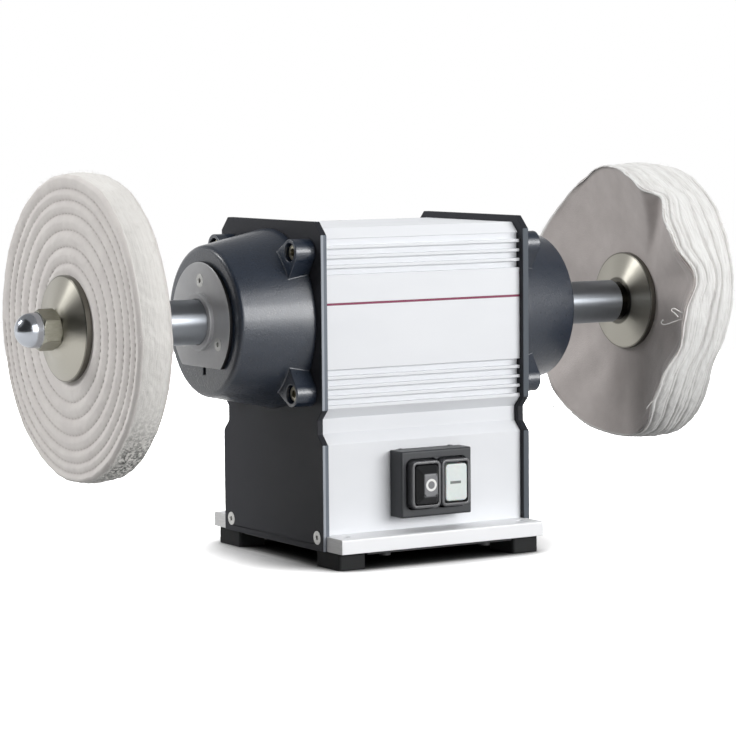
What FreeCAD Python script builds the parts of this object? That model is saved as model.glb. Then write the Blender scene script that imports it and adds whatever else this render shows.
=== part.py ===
import FreeCAD, Part
import math
import os

# Double-ended bench polishing lathe: a single-phase motor in a finned aluminium extrusion,
# with one long spindle that carries a cotton wheel at each end.
# Millimetres. X runs along the spindle, -Y is the front with the switch, +Z is up, and the
# origin is on the bench under the middle of the machine.

# --- stance, side outline and length of the body ---
foot_height = 11.5
spindle_height = 163.5
body_half_depth = 67.5
housing_length = 157.0
plate_thickness = 4.5
plate_chamfer = 9.0
panel_reveal = 4.5
waist_centre = 94.0
waist_flat = 10.0
waist_depth = 7.0

# --- cooling grooves of the extrusion, four above and four below the flat front panel ---
flat_panel_half = 31.5
groove_width = 4.4
groove_depth = 3.5
fin_width = 2.1
groove_count = 4

# --- inside of the extrusion ---
motor_side_wall = 6.0
motor_top_wall = 5.5
web_thickness = 6.5
wall = 4.0
floor_thickness = 4.0
lead_hole_radius = 5.0

# --- clearances ---
seat_fit = 0.02
thread_fit = 0.05
running_fit = 0.1
bolt_gap = 0.5
assembly_gap = 0.3

# --- base rails, feet and bottom plate ---
rail_reach = 19.8
rail_height = 10.0
rail_end_inset = 2.2
rail_edge = 0.8
foot_length = 20.5
foot_depth = 30.0
foot_end_inset = 1.0
foot_front_inset = 5.2
foot_corner = 2.0
bench_hole_end_inset = 10.8
bench_hole_outset = 7.5
bench_hole_radius = 2.75
bottom_plate_thickness = 2.0
bottom_plate_gap = 1.5
rail_screw_x = 40.0
rail_screw_depth = 7.0
floor_screw_end_inset = 12.5
floor_screw_inset = 24.5
floor_slot_margin = 7.0

# --- screws: shank radius, head radius, head height and socket across flats ---
m4_shank = 2.0
m4_head = 3.8
m4_head_height = 2.4
m4_socket = 2.5
m5_shank = 2.5
m5_head = 4.6
m5_head_height = 2.6
m5_socket = 3.0
m6_shank = 3.0
m6_head = 5.0
m6_head_height = 6.0
m6_socket = 5.0
socket_depth_share = 0.5
plate_screw_length = 18.0
plate_screw_inset = 8.9
plate_screw_rise = 8.5
boss_wall = 3.0
foot_screw_bite = 5.0
foot_screw_recess = 5.5

# --- end caps ---
cap_flange = 2.5
cap_seat_width = 4.0
cap_draft = 10.4
cap_length = 51.8
cap_edge = 4.0
cap_wall = 6.0
cap_hub_radius = 33.0
spigot_length = 8.0
spigot_wall = 3.5
spigot_gap = 0.1
lug_inset_y = 15.75
lug_spread_z = 47.0
lug_radius = 8.8
lug_length = 15.0
lug_root_bite = 11.0
lug_root_half = 14.0
counterbore_gap = 1.1
counterbore_depth = 8.5
cap_bolt_bite = 19.0
pry_slot_width = 3.5
pry_slot_height = 5.5
pry_slot_depth = 3.0

# --- ball bearings, 20 x 47 x 14 ---
bearing_bore_radius = 10.0
bearing_outer_radius = 23.5
bearing_width = 14.0
inner_shoulder_radius = 13.2
outer_shoulder_radius = 20.3
ball_pitch_radius = 16.75
ball_radius = 3.95
ball_count = 8
cage_half_thickness = 1.5
cage_half_width = 4.5
preload_gap = 1.5
washer_bend_radius = 240.0
washer_thickness = 0.4
washer_width = 3.0

# --- bearing retainers and shaft seals ---
retainer_margin = 10.3
retainer_thickness = 2.7
retainer_flat_depth = 10.0
retainer_chamfer = 0.5
retainer_screw_circle = 27.7
retainer_screw_angles = (90.0, -30.0, 210.0)
retainer_screw_length = 12.0
collar_radius = 19.4
collar_height = 3.0
collar_lip = 1.2
seal_outer_radius = 18.0
seal_side_gap = 0.2

# --- spindle ---
rotor_seat_radius = 14.0
shaft_shoulder_radius = 12.0
hub_bore_gap = 1.0
nose_radius = 8.0
nose_chamfer = 1.0
sleeve_radius = 15.2
sleeve_end = 202.0
sleeve_pilot = 0.8
sleeve_chamfer = 0.5

# --- rotor and stator ---
stack_half = 35.0
air_gap = 0.5
stator_ring = 25.5
end_ring_step = 1.5
end_ring_width = 10.5
end_ring_length = 8.0
slot_count = 24
slot_mouth_half = 1.1
tooth_tip = 2.0
back_iron = 10.5
slot_inner_half = 2.2
slot_outer_half = 3.9
slot_liner = 0.25
winding_gap = 1.0
winding_step = 0.5
winding_bulge = 1.5
winding_length = 22.0
winding_chamfer = 3.0

# --- flanges, wheels and cap nuts ---
flange_radius = 35.0
flange_rim = 4.0
flange_neck_radius = 13.5
flange_neck_length = 6.0
flange_cone_radius = 16.5
inner_flange_length = 15.0
outer_flange_length = 10.0
flange_relief = 1.0
flange_relief_radius = 24.0
flange_bore_gap = 0.05
wheel_radius = 100.0
wheel_hub_width = 18.0
wheel_dent_gap = 1.0
wheel_dent_slope = 3.0
wheel_edge = 1.6
sewn_wheel_width = 23.3
loose_wheel_root = 1.5
loose_wheel_flare_in = 16.0
loose_wheel_flare_out = 7.5
loose_wheel_edge = 3.0
nut_flats = 24.0
nut_hex_height = 13.0
nut_height = 28.0
nut_dome_radius = 11.5
nut_thread_depth = 20.0
nose_engagement = 18.0
nut_corner_rise = 1.6

# --- switch box on the lower front panel ---
switch_box_width = 56.0
switch_box_height = 45.0
switch_box_depth = 15.0
switch_box_edge = 1.5
switch_centre = 53.1
switch_face_thickness = 4.5
lobe_width = 25.0
lobe_height = 34.0
lobe_pitch = 23.6
lobe_corner = 5.0
switch_cavity_width = 49.4
switch_cavity_height = 37.4
boot_fit = 0.2
boot_recess = 3.0
boot_flange_thickness = 1.2
lip_inset = 1.0
lip_width = 2.2
lip_height = 9.0
lip_edge = 0.9
lip_web_drop = 1.4
switch_body_width = 48.8
switch_body_height = 35.0
switch_body_depth = 38.0
pocket_width = 21.0
pocket_height = 30.0
spring_space = 3.4
tab_width = 6.3
tab_thickness = 0.8
tab_length = 8.0
tab_spread_x = 14.0
tab_spread_z = 9.0
switch_screw_x = 18.0
switch_screw_shank = 1.1
switch_screw_head = 2.1
switch_screw_head_height = 1.4
switch_screw_bite = 9.0

# --- push buttons ---
button_travel = 3.0
button_flange_width = 20.2
button_flange_height = 29.2
button_flange_thickness = 1.5
stop_base_width = 17.8
stop_base_height = 26.4
stop_face_width = 10.0
stop_face_height = 14.4
stop_base_corner = 2.0
stop_face_corner = 1.0
stop_slope_depth = 5.5
stop_proud = 11.5
start_width = 17.0
start_height = 25.0
start_corner = 2.5
start_edge = 0.8
start_proud = 6.2
spring_thickness = 0.35
spring_width = 6.0
spring_half_span = 10.0

# --- electrical parts in the lower bay ---
capacitor_radius = 17.5
capacitor_length = 75.0
capacitor_left = -55.0
capacitor_wall_gap = 5.5
capacitor_z = 62.0
capacitor_edge = 2.0
clip_thickness = 1.2
clip_width = 14.0
clip_foot_height = 20.0
terminal_pitch = 11.0
terminal_poles = 3
terminal_first_x = 24.0
terminal_depth = 15.0
terminal_base = 10.0
terminal_barrier = 1.6
terminal_barrier_height = 6.0
terminal_wall_gap = 7.0
lead_radius = 2.2
lead_bend = 7.0
lead_crossing_drop = 28.0
lead_descent_drop = 14.0
gland_x = 60.0
gland_z = 45.0
gland_flats = 24.0
gland_thread_radius = 10.0
gland_collar = 6.0
gland_bore_radius = 5.5
gland_neck_radius = 9.0
gland_neck_length = 9.5
gland_nut_radius = 12.0
gland_nut_length = 17.0
gland_nut_entry_radius = 4.5
gland_nut_entry_length = 7.0
gland_nut_edge = 2.0
locknut_thickness = 4.5
locknut_thread_play = 2.0

# --- places that several pieces share ---
housing_end = housing_length / 2
plate_face = housing_end + plate_thickness
cap_face = plate_face + cap_length
panel_y = body_half_depth - panel_reveal
stator_bore_radius = panel_y - motor_side_wall
body_top = spindle_height + stator_bore_radius + motor_top_wall + panel_reveal
cap_base_radius = stator_bore_radius + cap_seat_width
cap_end_radius = cap_base_radius - cap_draft
lug_spread_y = body_half_depth - lug_inset_y
lug_root_radius = cap_base_radius - lug_root_bite
retainer_radius = cap_end_radius - retainer_margin
retainer_flat_drop = retainer_radius - retainer_flat_depth
rotor_radius = stator_bore_radius - stator_ring - air_gap
end_ring_radius = rotor_radius - end_ring_step
slot_inner_radius = rotor_radius + air_gap + tooth_tip
slot_outer_radius = stator_bore_radius - back_iron
winding_inner_radius = slot_inner_radius + winding_step
winding_outer_radius = slot_outer_radius + winding_bulge
rail_outer_y = body_half_depth + rail_reach
rail_end = plate_face - rail_end_inset
bench_hole_x = rail_end - bench_hole_end_inset
bench_hole_y = body_half_depth + bench_hole_outset
floor_screw_x = housing_end - floor_screw_end_inset
floor_screw_y = body_half_depth - floor_screw_inset
floor_slot_half = floor_screw_y - floor_slot_margin
bay_ceiling = spindle_height - stator_bore_radius - web_thickness
bay_floor = foot_height + floor_thickness
bay_wall_y = panel_y - wall
capacitor_y = bay_wall_y - capacitor_wall_gap - capacitor_radius
terminal_y = bay_wall_y - terminal_wall_gap - terminal_depth / 2
bearing_inner_x = cap_face - bearing_width
bearing_centre_x = cap_face - bearing_width / 2
flange_base_x = sleeve_end + inner_flange_length
wheel_outer_x = flange_base_x + wheel_hub_width
nut_base_x = wheel_outer_x + outer_flange_length
switch_face_y = -panel_y - switch_box_depth
boot_back_y = switch_face_y + switch_face_thickness
boot_floor_y = switch_face_y + boot_recess
switch_body_front_y = boot_back_y + boot_flange_thickness
button_flange_front_y = switch_body_front_y + running_fit
button_back_y = button_flange_front_y + button_flange_thickness
spring_crown_y = button_back_y + assembly_gap
pocket_floor_y = spring_crown_y + button_travel + spring_space
plate_screw_y = body_half_depth - plate_screw_inset
plate_screw_z = foot_height + plate_screw_rise
foot_x = rail_end - foot_end_inset - foot_length / 2
foot_y = rail_outer_y - foot_front_inset - foot_depth / 2

AXIS_X = FreeCAD.Vector(1, 0, 0)
AXIS_Y = FreeCAD.Vector(0, 1, 0)
AXIS_Z = FreeCAD.Vector(0, 0, 1)
SIDES = (-1, 1)


# --- shapes that many pieces are made from ---
def point(x, y, z):
    return FreeCAD.Vector(x, y, z)


def block(x_span, y_span, z_span):
    """A box between two values along each axis."""
    low = point(x_span[0], y_span[0], z_span[0])
    return Part.makeBox(
        x_span[1] - x_span[0], y_span[1] - y_span[0], z_span[1] - z_span[0], low
    )


def rod_x(radius, x0, x1, y=0.0, z=spindle_height):
    return Part.makeCylinder(radius, x1 - x0, point(x0, y, z), AXIS_X)


def rod_y(radius, y0, y1, x, z):
    return Part.makeCylinder(radius, y1 - y0, point(x, y0, z), AXIS_Y)


def rod_z(radius, z0, z1, x, y):
    return Part.makeCylinder(radius, z1 - z0, point(x, y, z0), AXIS_Z)


def ring_x(outer_radius, inner_radius, x0, x1):
    return rod_x(outer_radius, x0, x1).cut(rod_x(inner_radius, x0, x1))


def turned(outline):
    """A solid of revolution about the spindle, from points (x, radius)."""
    points = [point(x, 0, spindle_height + radius) for x, radius in outline]
    face = Part.Face(Part.makePolygon(points + points[:1]))
    return face.revolve(point(0, 0, spindle_height), AXIS_X, 360)


def extruded_x(outline, x0, x1):
    """A prism along X, from points (y, z)."""
    points = [point(x0, y, z) for y, z in outline]
    face = Part.Face(Part.makePolygon(points + points[:1]))
    return face.extrude(point(x1 - x0, 0, 0))


def hexagon_prism(across_flats, start, length, direction):
    """A hexagonal prism that grows from its start point along direction."""
    corner = across_flats / math.sqrt(3)
    turn = FreeCAD.Rotation(AXIS_Z, direction)
    corners = []
    for step in range(6):
        angle = math.radians(60 * step)
        flat = point(corner * math.cos(angle), corner * math.sin(angle), 0)
        corners.append(start + turn.multVec(flat))
    face = Part.Face(Part.makePolygon(corners + corners[:1]))
    return face.extrude(direction * length)


def pad_y(width, height, corner, y0, y1, x):
    """A block along Y on the switch's centre line, with four rounded corners."""
    z0 = switch_centre - height / 2
    body = block((x - width / 2, x + width / 2), (y0, y1), (z0, z0 + height))
    edges = [e for e in body.Edges if abs(e.tangentAt(e.FirstParameter).y) > 0.9]
    return body.makeFillet(corner, edges)


def two_lobes(inset, y0, y1):
    """Both lobes of the switch opening in one prism, drawn in by inset all round."""
    lobes = [
        pad_y(
            lobe_width - 2 * inset,
            lobe_height - 2 * inset,
            lobe_corner - inset,
            y0,
            y1,
            side * lobe_pitch / 2,
        )
        for side in SIDES
    ]
    return lobes[0].fuse(lobes[1]).removeSplitter()


def fused(shapes):
    first, *rest = shapes
    return first.multiFuse(rest).removeSplitter() if rest else first


def mirrored(shape):
    return shape.mirror(point(0, 0, 0), AXIS_X)


def on_side(side, shape):
    """A piece that is drawn for the right end, handed to the wanted end."""
    return shape if side > 0 else mirrored(shape)


# --- screws: they start with their head's top face and run along a direction ---
def pan_screw(top, direction, head, head_height, shank, length, socket):
    """A cylindrical head with a hexagon socket, on a plain shank."""
    body = Part.makeCylinder(head, head_height, top, direction)
    stem = Part.makeCylinder(shank, length, top + direction * head_height, direction)
    key = hexagon_prism(socket, top, head_height * socket_depth_share, direction)
    return body.fuse(stem).removeSplitter().cut(key)


def sunk_screw(top, direction, head, head_height, shank, length, socket):
    """A countersunk head with a hexagon socket, length measured overall."""
    cone = Part.makeCone(head, shank, head_height, top, direction)
    stem = Part.makeCylinder(shank, length, top, direction)
    key = hexagon_prism(socket, top, head_height * socket_depth_share, direction)
    return cone.fuse(stem).cut(key)


def sunk_hole(top, direction, head, head_height, shank, length, gap):
    """What a countersunk screw's hole takes away, gap wider all round."""
    cone = Part.makeCone(head + gap, shank + gap, head_height, top, direction)
    return cone.fuse(Part.makeCylinder(shank + gap, length, top, direction))


# --- housing and end plates ---
def side_outline(inset):
    """The body seen along the spindle, with its waist and the chamfered top, closed."""
    half = body_half_depth - inset
    top = body_top - inset
    waist_low = waist_centre - waist_flat / 2
    waist_high = waist_centre + waist_flat / 2
    rear = [
        (half, foot_height),
        (half, waist_low - waist_depth),
        (half - waist_depth, waist_low),
        (half - waist_depth, waist_high),
        (half, waist_high + waist_depth),
        (half, top - plate_chamfer),
        (half - plate_chamfer, top),
    ]
    return rear + [(-y, z) for y, z in reversed(rear)]


def bay_space():
    """The electrical bay under the motor bore, less the screw channels in its corners."""
    shift = wall * math.tan(math.radians(22.5))
    waist_low = waist_centre - waist_flat / 2
    rear = [
        (bay_wall_y, bay_floor),
        (bay_wall_y, waist_low - waist_depth - shift),
        (bay_wall_y - waist_depth, waist_low - shift),
        (bay_wall_y - waist_depth, bay_ceiling),
    ]
    space = extruded_x(rear + [(-y, z) for y, z in reversed(rear)], -housing_end, housing_end)
    for side in SIDES:
        boss = rod_x(
            m5_shank + boss_wall, -housing_end, housing_end, side * plate_screw_y, plate_screw_z
        )
        space = space.cut(boss)
    return space


def groove_cuts():
    """Front and rear cooling grooves, mirrored about the spindle's height."""
    cuts = []
    pitch = groove_width + fin_width
    for row in range(groove_count):
        near = flat_panel_half + row * pitch
        for vertical in SIDES:
            levels = sorted(
                (spindle_height + vertical * near, spindle_height + vertical * (near + groove_width))
            )
            for side in SIDES:
                depths = sorted((side * (panel_y - groove_depth), side * (panel_y + groove_depth)))
                cuts.append(block((-housing_end, housing_end), depths, levels))
    return cuts


def switch_screw_z(side):
    """The box is screwed on through the middle of its upper and lower wall."""
    return switch_centre + side * (switch_box_height + switch_cavity_height) / 4


def housing_extrusion():
    body = extruded_x(side_outline(panel_reveal), -housing_end, housing_end)
    cuts = groove_cuts()
    cuts.append(rod_x(stator_bore_radius, -housing_end, housing_end))
    cuts.append(bay_space())
    cuts.append(
        block(
            (-housing_end, housing_end),
            (-floor_slot_half, floor_slot_half),
            (foot_height, bay_floor),
        )
    )
    cuts.append(rod_z(lead_hole_radius, bay_ceiling, spindle_height, motor_lead_x(), 0))
    window_half = switch_cavity_width / 2
    cuts.append(
        block(
            (-window_half, window_half),
            (-panel_y, -bay_wall_y),
            (
                switch_centre - switch_cavity_height / 2,
                switch_centre + switch_cavity_height / 2,
            ),
        )
    )
    cuts.append(
        rod_y(gland_thread_radius + thread_fit, bay_wall_y, panel_y, gland_x, gland_z)
    )
    for side_x in SIDES:
        for side in SIDES:
            cuts.append(
                rod_y(
                    switch_screw_shank + thread_fit,
                    -panel_y,
                    -bay_wall_y,
                    side_x * switch_screw_x,
                    switch_screw_z(side),
                )
            )
            bolt_spans = sorted(
                (side_x * housing_end, side_x * (housing_end - cap_bolt_bite - bolt_gap))
            )
            for side_z in SIDES:
                cuts.append(
                    rod_x(
                        m6_shank + thread_fit,
                        *bolt_spans,
                        side * lug_spread_y,
                        spindle_height + side_z * lug_spread_z,
                    )
                )
            cuts.append(
                rod_z(
                    m4_shank + thread_fit,
                    foot_height,
                    bay_floor,
                    side_x * floor_screw_x,
                    side * floor_screw_y,
                )
            )
            cuts.append(
                rod_z(
                    m4_shank + thread_fit,
                    foot_height,
                    foot_height + foot_screw_bite + bolt_gap,
                    side_x * foot_x,
                    side * plate_screw_y,
                )
            )
    for side in SIDES:
        cuts.append(
            rod_x(m5_shank + thread_fit, -housing_end, housing_end, side * plate_screw_y, plate_screw_z)
        )
    return body.cut(cuts)


def end_plate():
    plate = extruded_x(side_outline(0), housing_end, plate_face)
    cuts = [rod_x(stator_bore_radius, housing_end, plate_face)]
    for side in SIDES:
        for side_z in SIDES:
            cuts.append(
                rod_x(
                    m6_shank + bolt_gap,
                    housing_end,
                    plate_face,
                    side * lug_spread_y,
                    spindle_height + side_z * lug_spread_z,
                )
            )
        cuts.append(
            sunk_hole(
                point(plate_face, side * plate_screw_y, plate_screw_z),
                -AXIS_X,
                m5_head,
                m5_head_height,
                m5_shank,
                plate_thickness,
                thread_fit,
            )
        )
    return plate.cut(cuts)


def plate_screws():
    screws = []
    for side_x in SIDES:
        for side in SIDES:
            screws.append(
                sunk_screw(
                    point(side_x * plate_face, side * plate_screw_y, plate_screw_z),
                    AXIS_X * -side_x,
                    m5_head,
                    m5_head_height,
                    m5_shank,
                    plate_screw_length,
                    m5_socket,
                )
            )
    return screws


# --- base: rails, bottom plate and rubber feet ---
def base_rail(side):
    """A bar that stands out past the end plates, with a tongue that fills in between them."""
    outer = [
        (body_half_depth, foot_height),
        (rail_outer_y, foot_height),
        (rail_outer_y, foot_height + rail_height - rail_edge),
        (rail_outer_y - rail_edge, foot_height + rail_height),
        (body_half_depth, foot_height + rail_height),
    ]
    bar = extruded_x(outer, -rail_end, rail_end)
    tongue = block(
        (-housing_end, housing_end),
        (panel_y, body_half_depth),
        (foot_height, foot_height + rail_height),
    )
    rail = bar.fuse(tongue).removeSplitter()
    top = foot_height + rail_height
    cuts = []
    for side_x in SIDES:
        cuts.append(
            rod_z(bench_hole_radius, foot_height, top, side_x * bench_hole_x, bench_hole_y)
        )
        cuts.append(
            rod_z(
                m4_shank + thread_fit,
                foot_height,
                foot_height + rail_screw_depth + bolt_gap,
                side_x * rail_screw_x,
                bench_hole_y,
            )
        )
    rail = rail.cut(cuts)
    return rail if side > 0 else rail.mirror(point(0, 0, 0), AXIS_Y)


def rubber_foot(side_x, side_y):
    """A block under the corner, bored for its own screw and for a bench screw."""
    half_x, half_y = foot_length / 2, foot_depth / 2
    foot = block(
        (foot_x - half_x, foot_x + half_x), (foot_y - half_y, foot_y + half_y), (0, foot_height)
    )
    edges = [e for e in foot.Edges if abs(e.tangentAt(e.FirstParameter).z) > 0.9]
    foot = foot.makeFillet(foot_corner, edges)
    cuts = [
        rod_z(bench_hole_radius, 0, foot_height, bench_hole_x, bench_hole_y),
        rod_z(m4_shank + thread_fit, 0, foot_height, foot_x, plate_screw_y),
        rod_z(m4_head + bolt_gap, 0, foot_screw_recess, foot_x, plate_screw_y),
    ]
    foot = foot.cut(cuts)
    if side_x < 0:
        foot = mirrored(foot)
    return foot if side_y > 0 else foot.mirror(point(0, 0, 0), AXIS_Y)


def foot_screws():
    length = foot_height - foot_screw_recess + foot_screw_bite
    return [
        pan_screw(
            point(side_x * foot_x, side_y * plate_screw_y, foot_screw_recess - m4_head_height),
            AXIS_Z,
            m4_head,
            m4_head_height,
            m4_shank,
            length,
            m4_socket,
        )
        for side_x in SIDES
        for side_y in SIDES
    ]


def bottom_plate_places():
    """Screw places of the bottom plate: four in the rails and four in the housing floor."""
    places = []
    for side_x in SIDES:
        for side_y in SIDES:
            places.append((side_x * rail_screw_x, side_y * bench_hole_y, rail_screw_depth))
            places.append((side_x * floor_screw_x, side_y * floor_screw_y, floor_thickness - bolt_gap))
    return places


def bottom_plate():
    """A cross-shaped steel plate that ties the rails to the housing between the feet."""
    half_x = foot_x - foot_length / 2 - bottom_plate_gap
    half_y = rail_outer_y - foot_front_inset
    narrow_y = foot_y - foot_depth / 2 - bottom_plate_gap
    z_span = (foot_height - bottom_plate_thickness, foot_height)
    wide = block((-half_x, half_x), (-half_y, half_y), z_span)
    long_x = housing_end - bottom_plate_gap
    long = block((-long_x, long_x), (-narrow_y, narrow_y), z_span)
    plate = wide.fuse(long).removeSplitter()
    holes = [rod_z(m4_shank + bolt_gap, *z_span, x, y) for x, y, _ in bottom_plate_places()]
    return plate.cut(holes)


def bottom_plate_screws():
    top = foot_height - bottom_plate_thickness - m4_head_height
    return [
        pan_screw(
            point(x, y, top),
            AXIS_Z,
            m4_head,
            m4_head_height,
            m4_shank,
            bottom_plate_thickness + bite,
            m4_socket,
        )
        for x, y, bite in bottom_plate_places()
    ]


# --- end caps with their bolts, bearings and retainers, drawn for the right end ---
def lug_places():
    return [
        (side_y * lug_spread_y, spindle_height + side_z * lug_spread_z)
        for side_y in SIDES
        for side_z in SIDES
    ]


def cap_lug(y, z):
    """A round ear for one bolt, with a web that widens towards the drum."""
    offset_y, offset_z = y, z - spindle_height
    distance = math.hypot(offset_y, offset_z)
    along = (offset_y / distance, offset_z / distance)
    across = (-along[1], along[0])

    def place(radius, half):
        return (
            along[0] * radius + across[0] * half,
            spindle_height + along[1] * radius + across[1] * half,
        )

    web = [
        place(lug_root_radius, -lug_root_half),
        place(distance, -lug_radius),
        place(distance, lug_radius),
        place(lug_root_radius, lug_root_half),
    ]
    lug_end = plate_face + lug_length
    ear = rod_x(lug_radius, plate_face, lug_end, y, z)
    return ear.fuse(extruded_x(web, plate_face, lug_end))


def end_cap():
    """A cast conical drum that is spigoted into the stator bore and holds the bearing."""
    spigot_radius = stator_bore_radius - spigot_gap
    spigot_end = plate_face - spigot_length
    inner_radius = spigot_radius - spigot_wall
    wall_inner_x = cap_face - cap_wall
    slope = (cap_base_radius - cap_end_radius) / (cap_length - cap_flange)
    inner_end_radius = cap_end_radius + slope * cap_wall - cap_wall
    pocket_radius = bearing_outer_radius + seat_fit
    pocket_floor = bearing_inner_x - preload_gap
    hub_bore = shaft_shoulder_radius + hub_bore_gap
    hub_end = pocket_floor - wall
    drum = turned(
        [
            (plate_face, inner_radius),
            (plate_face, cap_base_radius),
            (plate_face + cap_flange, cap_base_radius),
            (cap_face, cap_end_radius),
            (cap_face, hub_bore),
            (wall_inner_x, hub_bore),
            (wall_inner_x, inner_end_radius),
        ]
    )
    rim = [
        e
        for e in drum.Edges
        if abs(e.BoundBox.XMin - cap_face) < 1e-6
        and abs(e.BoundBox.XMax - cap_face) < 1e-6
        and abs(e.BoundBox.YLength / 2 - cap_end_radius) < 1e-3
    ]
    drum = drum.makeFillet(cap_edge, rim)
    hollow = turned(
        [
            (plate_face, 0),
            (plate_face, inner_radius),
            (wall_inner_x, inner_end_radius),
            (wall_inner_x, 0),
        ]
    )
    lugs = fused([cap_lug(y, z) for y, z in lug_places()]).cut(hollow)
    spigot = ring_x(spigot_radius, inner_radius, spigot_end, plate_face)
    hub = ring_x(cap_hub_radius, hub_bore, hub_end, cap_face)
    cap = fused([drum, lugs, spigot, hub])
    cuts = [rod_x(pocket_radius, pocket_floor, cap_face)]
    seat_x = plate_face + lug_length - counterbore_depth
    for y, z in lug_places():
        cuts.append(rod_x(m6_shank + bolt_gap, plate_face, seat_x, y, z))
        cuts.append(rod_x(m6_head + counterbore_gap, seat_x, cap_face, y, z))
    for y, z in retainer_screw_places():
        depth = retainer_screw_length - retainer_thickness + bolt_gap
        cuts.append(rod_x(m5_shank + thread_fit, cap_face - depth, cap_face, y, z))
    slot_top = spindle_height - retainer_flat_drop
    cuts.append(
        block(
            (cap_face - pry_slot_depth, cap_face),
            (-pry_slot_width / 2, pry_slot_width / 2),
            (slot_top - pry_slot_height, slot_top),
        )
    )
    return cap.cut(cuts)


def end_cap_screws():
    """Four socket screws at each end, through the lugs and the plate into the extrusion."""
    seat_x = plate_face + lug_length - counterbore_depth
    length = seat_x - housing_end + cap_bolt_bite
    screws = []
    for side_x in SIDES:
        for y, z in lug_places():
            screws.append(
                pan_screw(
                    point(side_x * (seat_x + m6_head_height), y, z),
                    AXIS_X * -side_x,
                    m6_head,
                    m6_head_height,
                    m6_shank,
                    length,
                    m6_socket,
                )
            )
    return screws


def retainer_screw_places():
    places = []
    for angle in retainer_screw_angles:
        turn = math.radians(angle)
        places.append(
            (
                retainer_screw_circle * math.cos(turn),
                spindle_height + retainer_screw_circle * math.sin(turn),
            )
        )
    return places


def bearing_retainer():
    """A disc with a flat lower edge and a collar that keeps the shaft seal."""
    plate_x = cap_face + retainer_thickness
    collar_x = plate_x + collar_height
    lip_radius = sleeve_radius + assembly_gap
    disc = turned(
        [
            (cap_face, seal_outer_radius + seat_fit),
            (cap_face, retainer_radius),
            (plate_x - retainer_chamfer, retainer_radius),
            (plate_x, retainer_radius - retainer_chamfer),
            (plate_x, collar_radius),
            (collar_x - retainer_chamfer, collar_radius),
            (collar_x, collar_radius - retainer_chamfer),
            (collar_x, lip_radius),
            (collar_x - collar_lip, lip_radius),
            (collar_x - collar_lip, seal_outer_radius + seat_fit),
        ]
    )
    flat_z = spindle_height - retainer_flat_drop
    cuts = [
        block(
            (cap_face, plate_x),
            (-retainer_radius, retainer_radius),
            (spindle_height - retainer_radius, flat_z),
        )
    ]
    for y, z in retainer_screw_places():
        cuts.append(
            sunk_hole(
                point(plate_x, y, z),
                -AXIS_X,
                m5_head,
                m5_head_height,
                m5_shank,
                retainer_thickness,
                thread_fit,
            )
        )
    return disc.cut(cuts)


def retainer_screws():
    screws = []
    for side_x in SIDES:
        for y, z in retainer_screw_places():
            screws.append(
                sunk_screw(
                    point(side_x * (cap_face + retainer_thickness), y, z),
                    AXIS_X * -side_x,
                    m5_head,
                    m5_head_height,
                    m5_shank,
                    retainer_screw_length,
                    m5_socket,
                )
            )
    return screws


def shaft_seal():
    """A felt ring in the retainer's collar, with a running gap to the turning sleeve."""
    outer_x = cap_face + retainer_thickness + collar_height - collar_lip - seal_side_gap
    return ring_x(seal_outer_radius, sleeve_radius + running_fit, cap_face + seal_side_gap, outer_x)


def race_groove():
    groove_radius = ball_radius + running_fit
    return Part.makeTorus(
        ball_pitch_radius, groove_radius, point(bearing_centre_x, 0, spindle_height), AXIS_X
    )


def bearing_outer_ring():
    ring = ring_x(bearing_outer_radius, outer_shoulder_radius, bearing_inner_x, cap_face)
    return ring.cut(race_groove())


def bearing_inner_ring():
    bore = bearing_bore_radius + seat_fit
    return ring_x(inner_shoulder_radius, bore, bearing_inner_x, cap_face).cut(race_groove())


def ball_set():
    """Eight balls in their pocketed cage."""
    centres = []
    for step in range(ball_count):
        turn = 2 * math.pi * step / ball_count
        centres.append(
            point(
                bearing_centre_x,
                ball_pitch_radius * math.cos(turn),
                spindle_height + ball_pitch_radius * math.sin(turn),
            )
        )
    cage = ring_x(
        ball_pitch_radius + cage_half_thickness,
        ball_pitch_radius - cage_half_thickness,
        bearing_centre_x - cage_half_width,
        bearing_centre_x + cage_half_width,
    )
    pockets = [Part.makeSphere(ball_radius + running_fit, centre) for centre in centres]
    balls = [Part.makeSphere(ball_radius, centre) for centre in centres]
    return [cage.cut(pockets)] + balls


def wave_washer():
    """A curved spring washer that preloads the right bearing: a bent sheet, cut to a ring."""
    near_x = bearing_inner_x - preload_gap
    rise = bearing_outer_radius**2 / (2 * washer_bend_radius)
    crown = near_x + washer_thickness + rise
    centre = point(crown - washer_bend_radius, 0, spindle_height - bearing_outer_radius)
    height = 2 * bearing_outer_radius
    sheet = Part.makeCylinder(washer_bend_radius, height, centre, AXIS_Z)
    inner = Part.makeCylinder(washer_bend_radius - washer_thickness, height, centre, AXIS_Z)
    outer_radius = bearing_outer_radius - assembly_gap
    band = ring_x(outer_radius, outer_radius - washer_width, near_x, bearing_inner_x)
    return band.common(sheet.cut(inner))


def distance_ring():
    """A plain ring of the washer's height, which fixes the left bearing."""
    ring = ring_x(
        bearing_outer_radius,
        bearing_outer_radius - washer_width,
        bearing_inner_x - preload_gap,
        bearing_inner_x,
    )
    return mirrored(ring)


# --- motor ---
def slot_outline(inset, mouth):
    """One stator slot, pointing up from the spindle; a conductor is drawn in by inset."""
    low = spindle_height + slot_inner_radius + inset
    high = spindle_height + slot_outer_radius - inset
    outline = [
        (slot_inner_half - inset, low),
        (slot_outer_half - inset, high),
        (inset - slot_outer_half, high),
        (inset - slot_inner_half, low),
    ]
    if mouth:
        rim = spindle_height + rotor_radius
        outline += [
            (-slot_mouth_half, low),
            (-slot_mouth_half, rim),
            (slot_mouth_half, rim),
            (slot_mouth_half, low),
        ]
    return outline


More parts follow.
